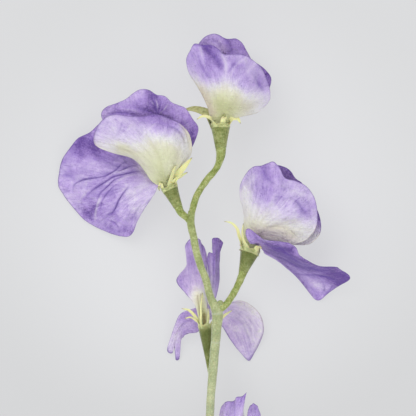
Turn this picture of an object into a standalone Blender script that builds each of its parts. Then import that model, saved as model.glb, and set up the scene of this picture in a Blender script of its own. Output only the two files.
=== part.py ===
"""Sweet pea flower: one cut stem that carries five blossoms, lying on a surface.

Lengths are typed in millimetres.  +X is to the right of the stem, +Y runs along it towards
the top blossom and +Z is up.  The finished model is moved so that its origin is the middle
of its box at surface level.
"""
import math

import bpy
import numpy as np

MM = 0.001

# Petals and sepals
PETAL_THICKNESS = 0.5
PETAL_CELLS = (14, 8)
STANDARD_CELLS = (20, 9)
KEEL_FLATNESS = 0.55
KEEL_STEPS = 8
NECK_RISE = 1.3
CLAW_DEPTH = 2.0
CLAW_TAPER = 0.7
NECK_PLACE = 0.1
SEPAL_THICKNESS = 0.5
SEPAL_STEPS = 6
SEPAL_TAPER = 0.75
SEPAL_TAPER_POWER = 1.5
CURL_RADIUS = 1.7
CURL_TURN = 2.8
CURL_POINTS = 4

# Calyx cups
CUP_WALL = 0.55
CUP_SIDES = 20
CUP_RINGS = 4
CUP_HOLLOW = 0.7

# Stalks
TUBE_SIDES = 10
STEM_STEPS = 52
PEDICEL_STEPS = 5
GAP = 0.3
FOOT_SHARE = 0.85
STRAIGHT_END = 1.6

# Edges that bend more than this many degrees are shaded as creases
SHARP_ANGLE = 50

COLOURS = {
    "stem": (0.30, 0.40, 0.13),
    "calyx": (0.25, 0.33, 0.10),
    "standard": (0.42, 0.27, 0.62),
    "wing": (0.52, 0.40, 0.72),
    "keel": (0.62, 0.60, 0.52),
}
ROUGHNESS = {"stem": 0.8, "calyx": 0.8, "standard": 0.65, "wing": 0.65, "keel": 0.6}


def unit(vector):
    """The vector at length one."""
    return vector / np.linalg.norm(vector)


def smooth(points, knots, at):
    """Points of a smooth curve that passes through the given points at the given knots."""
    points = np.asarray(points, float)
    knots = np.asarray(knots, float)
    slopes = np.gradient(points, knots, axis=0, edge_order=1)
    span = np.clip(np.searchsorted(knots, at, side="right") - 1, 0, len(knots) - 2)
    width = knots[span + 1] - knots[span]
    s = (at - knots[span]) / width
    shape = (-1,) + (1,) * (points.ndim - 1)
    s = s.reshape(shape)
    width = width.reshape(shape)
    return (
        points[span] * (1 + 2 * s) * (1 - s) ** 2
        + slopes[span] * width * s * (1 - s) ** 2
        + points[span + 1] * s**2 * (3 - 2 * s)
        + slopes[span + 1] * width * s**2 * (s - 1)
    )


def evenly(points, count):
    """The given number of even steps along a smooth curve through the points."""
    points = np.asarray(points, float)
    chords = np.linalg.norm(np.diff(points[:, :3], axis=0), axis=1)
    knots = np.concatenate([[0.0], np.cumsum(chords)])
    return smooth(points, knots, np.linspace(0, knots[-1], count + 1))


def material(kind):
    """The plain material of one kind of piece, made once."""
    found = bpy.data.materials.get(kind)
    if found:
        return found
    made = bpy.data.materials.new(kind)
    made.use_nodes = True
    surface = made.node_tree.nodes["Principled BSDF"]
    surface.inputs["Base Color"].default_value = COLOURS[kind] + (1.0,)
    surface.inputs["Roughness"].default_value = ROUGHNESS[kind]
    surface.inputs["Metallic"].default_value = 0.0
    made.diffuse_color = COLOURS[kind] + (1.0,)
    return made


def signed_volume(points, faces):
    """Six times the volume that the faces close in, negative if they face inwards."""
    total = 0.0
    for face in faces:
        for second, third in zip(face[1:-1], face[2:]):
            total += np.dot(points[face[0]], np.cross(points[second], points[third]))
    return total


def add_piece(name, kind, points, faces):
    """One named object from points in millimetres, with its faces turned outwards."""
    points = np.asarray(points, float)
    if signed_volume(points, faces) < 0:
        faces = [face[::-1] for face in faces]
    mesh = bpy.data.meshes.new(name)
    mesh.from_pydata((points * MM).tolist(), [], faces)
    mesh.materials.append(material(kind))
    mesh.shade_smooth()
    mesh.set_sharp_from_angle(angle=math.radians(SHARP_ANGLE))
    piece = bpy.data.objects.new(name, mesh)
    bpy.context.scene.collection.objects.link(piece)
    return piece


def ring_faces(rings, sides):
    """Faces that join consecutive closed rings and cap both ends."""
    faces = []
    for ring in range(rings - 1):
        for side in range(sides):
            after = (side + 1) % sides
            low = ring * sides
            faces.append([low + side, low + after, low + sides + after, low + sides + side])
    faces.append(list(range(sides))[::-1])
    faces.append([(rings - 1) * sides + side for side in range(sides)])
    return faces


def tube_points(route, steps, flat=1.0):
    """Rings round a smooth route of (x, y, z, radius) points; flat squeezes their height."""
    centres = evenly(route, steps)
    along = np.gradient(centres[:, :3], axis=0)
    points = []
    for centre, direction in zip(centres, along):
        across = unit(np.cross(direction, (0.0, 0.0, 1.0)))
        upward = unit(np.cross(across, direction))
        for side in range(TUBE_SIDES):
            turn = 2 * math.pi * side / TUBE_SIDES
            reach = math.cos(turn) * across + math.sin(turn) * upward * flat
            points.append(centre[:3] + centre[3] * reach)
    return points


def tube(name, kind, route, steps, flat=1.0):
    """A closed round stalk, or a boat-shaped keel where it is flattened."""
    return add_piece(name, kind, tube_points(route, steps, flat), ring_faces(steps + 1, TUBE_SIDES))


class Cup:
    """Where one calyx stands: its foot, its mouth and the directions across its mouth."""

    def __init__(self, foot, mouth, foot_radius, mouth_radius):
        self.foot = np.array(foot, float)
        self.mouth = np.array(mouth, float)
        self.foot_radius = foot_radius
        self.mouth_radius = mouth_radius
        self.axis = unit(self.mouth - self.foot)
        self.length = float(np.linalg.norm(self.mouth - self.foot))
        self.across = unit(np.cross(self.axis, (0.0, 0.0, 1.0)))
        self.front = np.cross(self.across, self.axis)

    def point(self, rise, across, front):
        """A point measured from the middle of the mouth, rising along the axis."""
        return self.mouth + rise * self.axis + across * self.across + front * self.front

    def ring(self, share, inset):
        """One ring of the wall, at a share of the height, inset from the outside."""
        centre = self.foot + share * self.length * self.axis
        radius = self.foot_radius + share * (self.mouth_radius - self.foot_radius) - inset
        turns = 2 * np.pi * np.arange(CUP_SIDES) / CUP_SIDES
        reach = np.outer(np.cos(turns), self.across) + np.outer(np.sin(turns), self.front)
        return centre + radius * reach


def sepal_route(cup, start, path):
    """The middle line of a sepal from the rim through its path, or curled back by default."""
    outward = unit(start - cup.mouth)
    if path is None:
        path = []
        for bend in np.linspace(0, CURL_TURN, CURL_POINTS + 1)[1:]:
            path.append(start + CURL_RADIUS * (np.sin(bend) * cup.axis + (1 - np.cos(bend)) * outward))
    return evenly([start] + [np.array(point, float) for point in path], SEPAL_STEPS)


def add_sepal(points, faces, cup, outer, inner, path):
    """Grow one tapering sepal from two neighbouring segments of the rim."""
    start = (points[outer[1]] + points[inner[1]]) / 2
    outward = unit(start - cup.mouth)
    sideways = unit(points[outer[2]] - points[outer[0]])
    half_width = np.linalg.norm(points[outer[2]] - points[outer[0]]) / 2
    line = sepal_route(cup, start, path)
    along = np.gradient(line, axis=0)
    previous = (outer, inner)
    for step in range(1, SEPAL_STEPS + 1):
        share = step / SEPAL_STEPS
        width = half_width * (1 - SEPAL_TAPER * share**SEPAL_TAPER_POWER)
        direction = unit(along[step])
        side = unit(sideways - np.dot(sideways, direction) * direction)
        face_out = np.cross(direction, side)
        if np.dot(face_out, outward) < 0:
            face_out = -face_out
        outward = face_out
        sideways = side
        current = ([], [])
        for row, offset in ((0, SEPAL_THICKNESS / 2), (1, -SEPAL_THICKNESS / 2)):
            for shift in (-1, 0, 1):
                current[row].append(len(points))
                points.append(line[step] + shift * width * side + offset * face_out)
        for k in (0, 1):
            faces.append([previous[0][k], previous[0][k + 1], current[0][k + 1], current[0][k]])
            faces.append([previous[1][k + 1], previous[1][k], current[1][k], current[1][k + 1]])
        faces.append([previous[1][0], previous[0][0], current[0][0], current[1][0]])
        faces.append([previous[0][2], previous[1][2], current[1][2], current[0][2]])
        previous = current
    for k in (0, 1):
        faces.append([previous[0][k], previous[0][k + 1], previous[1][k + 1], previous[1][k]])


def calyx(name, cup, sepals):
    """A hollow cone with five sepals; each is (turn round the rim in degrees, path or None)."""
    shares = np.linspace(0, 1, CUP_RINGS)
    hollow = np.linspace(1, 1 - CUP_HOLLOW, CUP_RINGS)
    points = [point for share in shares for point in cup.ring(share, 0)]
    points += [point for share in hollow for point in cup.ring(share, CUP_WALL)]
    rings = 2 * CUP_RINGS
    rim = CUP_RINGS - 1
    segments = {}
    for turn, path in sepals:
        segments[round(turn / 360 * CUP_SIDES) % CUP_SIDES] = path
    covered = {(middle + side) % CUP_SIDES for middle in segments for side in (-1, 0)}
    faces = []
    for ring in range(rings - 1):
        for side in range(CUP_SIDES):
            if ring == rim and side in covered:
                continue
            after = (side + 1) % CUP_SIDES
            low = ring * CUP_SIDES
            high = low + CUP_SIDES
            faces.append([low + side, low + after, high + after, high + side])
    faces.append(list(range(CUP_SIDES))[::-1])
    faces.append([(rings - 1) * CUP_SIDES + side for side in range(CUP_SIDES)])
    for middle, path in segments.items():
        around = [(middle + side) % CUP_SIDES for side in (-1, 0, 1)]
        outer = [rim * CUP_SIDES + side for side in around]
        inner = [(rim + 1) * CUP_SIDES + side for side in around]
        add_sepal(points, faces, cup, outer, inner, path)
    return add_piece(name, "calyx", points, faces)


def petal_surface(cup, seat, spread, rays, cells):
    """A grid of points over a petal that fans out from its claw along hand-set rays."""
    shares = np.linspace(-0.5, 0.5, len(rays))
    rows = []
    for share, ray in zip(shares, rays):
        across = seat[0] + share * spread[0]
        front = seat[1] + share * spread[1]
        claw = cup.point(-CLAW_DEPTH, CLAW_TAPER * across, CLAW_TAPER * front)
        neck = cup.point(NECK_RISE, across, front)
        rows.append([claw, neck] + [np.array(point, float) for point in ray])
    knots = np.concatenate([[0.0], np.linspace(NECK_PLACE, 1.0, len(rays[0]) + 1)])
    along = np.concatenate([[0.0], np.linspace(NECK_PLACE, 1.0, cells[1])])
    grid = smooth(np.transpose(rows, (1, 0, 2)), knots, along)
    around = np.linspace(0, len(rays) - 1, cells[0] + 1)
    return smooth(np.transpose(grid, (1, 0, 2)), np.arange(len(rays)), around)


def petal(name, kind, cup, seat, spread, rays, cells=PETAL_CELLS):
    """A thin closed petal whose two faces stand half its thickness off the surface."""
    grid = petal_surface(cup, seat, spread, rays, cells)
    around = np.gradient(grid, axis=0)
    along = np.gradient(grid, axis=1)
    normals = np.cross(around, along)
    normals /= np.linalg.norm(normals, axis=2, keepdims=True)
    columns, rows = grid.shape[:2]
    half = PETAL_THICKNESS / 2
    front_face = (grid + half * normals).reshape(-1, 3)
    back_face = (grid - half * normals).reshape(-1, 3)
    points = np.concatenate([front_face, back_face])
    back = columns * rows
    faces = []
    for column in range(columns - 1):
        for row in range(rows - 1):
            corner = column * rows + row
            quad = [corner, corner + rows, corner + rows + 1, corner + 1]
            faces.append(quad)
            faces.append([back + index for index in quad[::-1]])
    for column in range(columns - 1):
        claw = column * rows
        rim = claw + rows - 1
        faces.append([claw, back + claw, back + claw + rows, claw + rows])
        faces.append([rim + rows, back + rim + rows, back + rim, rim])
    last = (columns - 1) * rows
    for row in range(rows - 1):
        faces.append([row + 1, back + row + 1, back + row, row])
        faces.append([last + row, back + last + row, back + last + row + 1, last + row + 1])
    return add_piece(name, kind, points, faces)


# The stem runs from its cut end to the fork of the two upper blossoms: x, y, z, radius.
STEM_ROUTE = [
    (-2.0, -190.0, 1.9, 1.8),
    (-1.3, -168.0, 4.1, 1.7),
    (-0.4, -145.0, 6.9, 1.65),
    (0.2, -121.0, 10.0, 1.75),
    (0.7, -97.0, 13.1, 1.55),
    (0.8, -72.0, 16.4, 1.5),
    (2.1, -55.0, 18.8, 1.65),
    (3.1, -42.5, 20.5, 1.8),
    (3.3, -37.2, 21.3, 2.0),
    (1.2, -33.0, 22.0, 1.45),
    (-0.8, -25.7, 22.5, 1.35),
    (-3.6, -17.9, 22.5, 1.35),
    (-5.3, -10.0, 22.2, 1.35),
    (-6.2, -4.8, 21.7, 1.4),
    (-5.9, -1.2, 21.3, 1.25),
]


def stem():
    """The flower stalk, and the wider copy of it that trims the five short stalks."""
    tube("stem", "stem", STEM_ROUTE, STEM_STEPS)
    wider = [(x, y, z, radius + GAP) for x, y, z, radius in STEM_ROUTE]
    cutter = tube("stem_clearance", "stem", wider, STEM_STEPS)
    cutter.hide_render = True
    cutter.display_type = "WIRE"
    return cutter


def pedicel(name, cutter, cup, route):
    """A short stalk up to just under a calyx, trimmed clear of the stem it grows from."""
    radius = cup.foot_radius * FOOT_SHARE
    before_end = tuple(cup.foot - STRAIGHT_END * cup.axis) + (radius,)
    end = tuple(cup.foot - GAP * cup.axis) + (radius,)
    piece = tube(name, "stem", route + [before_end, end], PEDICEL_STEPS * len(route))
    if cutter is None:
        return piece
    trim = piece.modifiers.new("trim", "BOOLEAN")
    trim.operation = "DIFFERENCE"
    trim.solver = "EXACT"
    trim.object = cutter
    return piece


def top_flower():
    """The blossom at the tip, its pouch facing up and its standard folded behind."""
    cup = Cup((4.6, 21.8, 18.0), (4.4, 30.4, 17.2), 2.05, 3.65)
    pedicel("pedicel_top", None, cup, [
        (-5.85, -0.85, 21.3, 1.2), (-4.0, 4.5, 20.7, 1.2),
        (-0.5, 10.0, 20.0, 1.2), (3.3, 14.8, 19.2, 1.2)])
    calyx("calyx_top", cup, [
        (72, None),
        (135, [(0.6, 32.4, 21.0), (-1.5, 33.0, 21.0), (-4.0, 31.9, 20.5)]),
        (198, [(0.0, 33.0, 15.5), (-2.5, 35.2, 15.0), (-5.4, 35.8, 15.0), (-8.3, 35.2, 15.0)]),
        (270, None),
        (0, [(9.2, 31.9, 17.5), (11.4, 32.4, 17.8), (12.0, 30.6, 18.0)])])
    petal("wing_near_top", "wing", cup, (0.0, 1.9), (3.0, 0.0), [
        [(-0.4, 37.0, 19.4), (-3.9, 43.8, 19.6), (-8.6, 50.4, 19.0)],
        [(0.6, 38.2, 22.0), (-3.2, 46.6, 23.4), (-8.1, 53.8, 20.4)],
        [(1.6, 39.0, 23.8), (-2.2, 48.6, 25.4), (-6.6, 56.6, 21.4)],
        [(2.6, 39.4, 25.0), (-0.8, 49.6, 26.6), (-5.0, 59.0, 22.2)],
        [(3.6, 39.6, 26.0), (1.0, 49.9, 27.0), (-2.4, 58.7, 22.8)],
        [(4.6, 39.6, 26.6), (3.0, 49.6, 26.8), (1.2, 58.5, 23.0)],
        [(5.6, 39.6, 27.0), (5.0, 49.2, 27.6), (3.6, 57.3, 23.8)],
        [(6.6, 39.4, 27.2), (7.0, 48.8, 28.8), (5.6, 55.6, 25.0)],
        [(7.6, 39.1, 27.2), (9.0, 48.2, 29.6), (9.0, 55.3, 25.2)],
        [(8.6, 38.7, 27.1), (11.0, 47.3, 30.0), (12.4, 55.2, 25.0)],
        [(9.5, 38.1, 26.8), (12.9, 46.0, 29.8), (15.3, 53.8, 24.4)],
        [(10.3, 37.4, 26.2), (14.6, 44.4, 29.0), (18.0, 51.4, 23.2)],
        [(11.0, 36.6, 25.3), (16.2, 42.6, 27.6), (20.2, 48.2, 21.8)],
        [(11.5, 35.7, 24.1), (17.3, 40.6, 25.8), (21.8, 44.6, 20.6)],
        [(11.6, 34.7, 22.7), (17.8, 38.4, 23.6), (22.4, 41.0, 19.8)],
        [(11.2, 33.6, 21.2), (17.4, 36.0, 21.6), (22.0, 37.9, 19.0)],
        [(10.4, 32.5, 19.8), (15.6, 33.6, 19.6), (20.0, 34.6, 18.6)]])
    petal("wing_far_top", "wing", cup, (0.0, -0.5), (3.0, 0.0), [
        [(1.0, 36.0, 16.0), (-2.5, 43.5, 16.5), (-7.0, 52.0, 17.0)],
        [(1.6, 37.4, 13.8), (-1.4, 46.0, 15.4), (-5.0, 56.4, 17.6)],
        [(2.4, 38.3, 12.0), (0.0, 49.0, 15.0), (-2.8, 60.0, 18.0)],
        [(3.2, 38.8, 11.0), (1.6, 50.6, 15.4), (-0.8, 61.9, 17.8)],
        [(4.0, 39.0, 10.3), (3.2, 51.4, 15.8), (2.0, 62.8, 17.5)],
        [(4.9, 39.0, 10.0), (4.9, 51.6, 16.3), (4.3, 62.3, 17.5)],
        [(5.8, 38.9, 10.0), (6.4, 51.4, 16.8), (6.4, 61.0, 18.2)],
        [(6.8, 38.6, 10.0), (8.0, 51.0, 17.0), (8.2, 60.9, 18.6)],
        [(7.7, 38.3, 10.2), (9.5, 50.6, 16.6), (10.2, 61.0, 18.0)],
        [(8.6, 37.9, 10.6), (11.2, 49.8, 16.0), (12.3, 59.5, 17.4)],
        [(9.4, 37.3, 11.4), (13.0, 48.0, 15.6), (13.9, 56.8, 17.0)],
        [(10.1, 36.7, 12.4), (14.6, 46.0, 15.6), (15.8, 53.4, 17.0)],
        [(10.8, 35.5, 14.0), (16.5, 42.0, 16.0), (19.0, 48.0, 17.0)],
        [(9.8, 33.8, 16.2), (15.8, 37.5, 16.8), (20.3, 41.0, 17.0)]])
    petal("standard_top", "standard", cup, (0.0, -1.9), (2.6, 0.0), [
        [(0.6, 36.5, 9.5), (-2.5, 43.0, 5.0), (-6.0, 50.0, 3.0)],
        [(2.0, 38.2, 7.0), (0.0, 48.5, 2.5), (-3.2, 56.8, 1.5)],
        [(4.0, 39.0, 6.0), (4.0, 51.0, 1.5), (3.2, 60.3, 0.8)],
        [(6.0, 38.8, 6.0), (8.0, 51.0, 1.5), (9.0, 59.2, 0.8)],
        [(8.0, 38.0, 6.5), (12.5, 48.5, 2.5), (16.2, 53.6, 2.0)],
        [(9.3, 36.8, 8.0), (16.0, 44.5, 4.5), (20.9, 50.0, 4.0)],
        [(9.8, 35.5, 9.5), (17.0, 40.2, 7.0), (22.9, 45.8, 7.0)],
        [(9.0, 34.0, 11.5), (15.0, 36.3, 9.5), (20.0, 38.5, 9.0)]], STANDARD_CELLS)
    tube("keel_top", "keel", [
        (4.4, 29.2, 17.9, 0.5), (4.6, 33.0, 18.2, 0.8), (6.0, 38.0, 19.2, 2.4),
        (8.0, 43.0, 20.0, 2.8), (9.2, 46.5, 21.0, 1.2)], KEEL_STEPS, KEEL_FLATNESS)


def left_flower(cutter):
    """The blossom on the left, its pouch above and its broad standard spread to the surface."""
    cup = Cup((-10.8, 0.5, 20.1), (-14.2, 7.8, 19.2), 1.65, 3.1)
    pedicel("pedicel_left", cutter, cup, [
        (-6.1, -5.3, 21.6, 1.15), (-7.6, -3.6, 21.3, 1.2)])
    calyx("calyx_left", cup, [
        (72, [(-12.6, 11.0, 23.8), (-11.6, 13.0, 26.6), (-11.0, 14.4, 28.2)]),
        (18, [(-10.8, 11.0, 20.6), (-9.5, 12.6, 21.2), (-7.4, 12.8, 21.0)]),
        (306, [(-9.9, 11.9, 15.4), (-7.6, 16.0, 14.4), (-4.8, 17.9, 14.6)]),
        (234, None),
        (144, [(-17.6, 9.0, 21.6), (-18.6, 8.2, 22.2)])])
    petal("wing_near_left", "wing", cup, (0.3, 1.5), (2.2, 0.0), [
        [(-19.8, 9.9, 20.2), (-22.6, 13.0, 20.8), (-27.5, 17.8, 21.2), (-37.8, 19.8, 20.6)],
        [(-19.6, 11.0, 22.4), (-22.8, 15.0, 24.0), (-29.5, 19.6, 25.0), (-40.4, 22.2, 21.4)],
        [(-19.2, 12.2, 24.2), (-22.6, 16.8, 26.6), (-30.2, 21.8, 27.8), (-41.0, 25.2, 22.4)],
        [(-18.6, 13.0, 25.4), (-22.0, 18.2, 28.4), (-29.8, 24.2, 29.8), (-39.8, 29.1, 23.6)],
        [(-18.0, 13.6, 26.2), (-21.2, 19.4, 29.4), (-28.6, 26.4, 30.4), (-37.0, 32.4, 24.6)],
        [(-17.2, 14.0, 26.6), (-20.0, 20.2, 30.0), (-26.4, 27.4, 30.6), (-33.0, 33.6, 25.4)],
        [(-16.4, 14.2, 26.8), (-18.6, 20.8, 30.4), (-23.4, 27.8, 30.6), (-28.5, 33.2, 26.0)],
        [(-15.6, 14.4, 27.0), (-17.2, 21.2, 30.6), (-20.4, 28.0, 30.6), (-24.0, 32.8, 26.6)],
        [(-14.8, 14.4, 27.0), (-15.6, 21.2, 30.6), (-17.2, 28.0, 30.4), (-18.8, 33.6, 27.0)],
        [(-14.0, 14.2, 26.8), (-14.0, 20.8, 30.2), (-14.2, 27.0, 30.0), (-13.6, 32.0, 26.8)],
        [(-13.3, 13.8, 26.2), (-12.4, 20.0, 29.2), (-11.6, 25.6, 28.8), (-9.8, 30.0, 25.6)],
        [(-12.7, 13.3, 25.2), (-11.1, 18.6, 27.6), (-9.4, 23.0, 26.8), (-7.0, 26.9, 24.2)],
        [(-12.3, 12.8, 24.0), (-10.2, 17.0, 25.4), (-8.0, 20.4, 24.6), (-5.7, 22.8, 22.8)],
        [(-12.0, 12.2, 22.8), (-10.0, 15.4, 23.2), (-8.2, 17.8, 22.8), (-6.0, 19.2, 21.8)],
        [(-12.2, 11.6, 21.6), (-11.0, 13.8, 21.4), (-10.0, 15.0, 21.2), (-8.4, 15.4, 21.0)]])
    petal("wing_far_left", "wing", cup, (0.3, -0.7), (2.2, 0.0), [
        [(-22.5, 15.5, 18.2), (-33.0, 24.0, 18.4), (-38.4, 31.4, 20.0)],
        [(-22.6, 17.0, 16.4), (-33.0, 27.0, 18.0), (-38.5, 33.9, 19.8)],
        [(-22.4, 18.0, 15.0), (-31.6, 29.4, 18.4), (-36.6, 36.4, 19.5)],
        [(-21.8, 19.0, 13.6), (-30.0, 31.0, 19.6), (-33.0, 37.7, 19.0)],
        [(-21.0, 19.6, 13.0), (-28.0, 32.2, 20.4), (-30.0, 39.2, 18.6)],
        [(-20.0, 19.9, 12.4), (-25.6, 33.2, 21.0), (-27.2, 41.2, 18.2)],
        [(-18.8, 20.0, 12.0), (-23.0, 33.6, 21.2), (-24.0, 42.6, 18.0)],
        [(-17.6, 20.0, 12.0), (-20.6, 33.8, 21.4), (-21.2, 42.5, 18.2)],
        [(-16.4, 19.8, 12.0), (-18.6, 33.6, 21.6), (-18.6, 40.9, 18.6)],
        [(-15.0, 19.4, 12.0), (-17.0, 33.2, 21.6), (-15.6, 40.3, 19.0)],
        [(-13.8, 19.0, 12.1), (-15.0, 32.4, 21.2), (-13.2, 38.2, 19.0)],
        [(-12.6, 18.5, 12.3), (-12.6, 31.0, 20.6), (-10.6, 37.1, 19.0)],
        [(-11.4, 17.9, 12.6), (-10.6, 29.2, 20.0), (-8.0, 35.8, 19.0)],
        [(-10.6, 17.2, 13.2), (-8.8, 27.0, 19.4), (-5.6, 32.2, 19.0)],
        [(-10.2, 16.0, 14.4), (-7.4, 23.8, 18.8), (-3.3, 28.4, 18.6)],
        [(-10.0, 14.6, 15.6), (-6.9, 20.8, 18.0), (-4.8, 22.2, 18.4)]])
    petal("standard_left", "standard", cup, (-2.0, 0.0), (0.0, 2.0), [
        [(-18.2, 14.0, 10.0), (-19.5, 24.0, 5.5), (-23.0, 33.0, 4.0)],
        [(-22.0, 16.2, 9.5), (-27.0, 25.0, 5.0), (-32.0, 33.5, 3.5)],
        [(-23.6, 15.6, 11.0), (-31.0, 24.0, 7.0), (-38.6, 31.0, 4.3)],
        [(-24.6, 14.4, 12.5), (-34.0, 21.5, 9.0), (-42.6, 27.4, 4.0)],
        [(-25.0, 13.2, 13.5), (-36.0, 19.0, 10.0), (-47.2, 25.3, 3.5)],
        [(-25.4, 12.2, 14.4), (-37.4, 16.4, 11.0), (-50.4, 21.4, 3.0)],
        [(-25.6, 11.2, 15.1), (-38.2, 13.6, 11.6), (-53.1, 17.2, 2.4)],
        [(-25.6, 10.4, 15.5), (-38.5, 11.0, 11.9), (-54.2, 13.0, 1.9)],
        [(-25.5, 9.6, 15.8), (-38.5, 8.4, 12.0), (-54.3, 9.2, 1.5)],
        [(-25.3, 8.8, 16.0), (-38.0, 6.0, 12.0), (-53.0, 5.8, 1.3)],
        [(-25.0, 8.1, 16.2), (-37.0, 3.7, 12.0), (-50.6, 2.0, 1.2)],
        [(-24.5, 7.4, 16.4), (-35.8, 1.8, 12.1), (-47.6, -1.2, 1.2)],
        [(-24.0, 6.8, 16.6), (-34.3, 0.3, 12.2), (-44.2, -4.6, 1.3)],
        [(-23.4, 6.2, 16.8), (-32.6, -1.0, 12.4), (-40.2, -7.5, 1.8)],
        [(-22.7, 5.6, 17.0), (-30.8, -2.0, 12.7), (-36.2, -9.0, 2.6)],
        [(-21.8, 5.2, 17.3), (-28.6, -2.4, 13.3), (-32.2, -9.9, 3.8)],
        [(-20.9, 4.9, 17.6), (-26.2, -2.0, 14.0), (-28.8, -10.1, 5.4)],
        [(-20.1, 4.7, 17.9), (-24.2, -1.0, 14.8), (-26.9, -8.6, 7.2)],
        [(-19.4, 4.8, 18.2), (-22.4, 0.4, 15.6), (-26.2, -5.6, 9.0)]], STANDARD_CELLS)
    tube("keel_left", "keel", [
        (-13.9, 6.9, 19.6, 0.4), (-15.2, 10.3, 19.6, 0.7), (-17.5, 15.0, 20.0, 2.2),
        (-20.0, 20.0, 21.4, 2.8), (-22.0, 23.5, 23.0, 1.2)], KEEL_STEPS, KEEL_FLATNESS)


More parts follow.
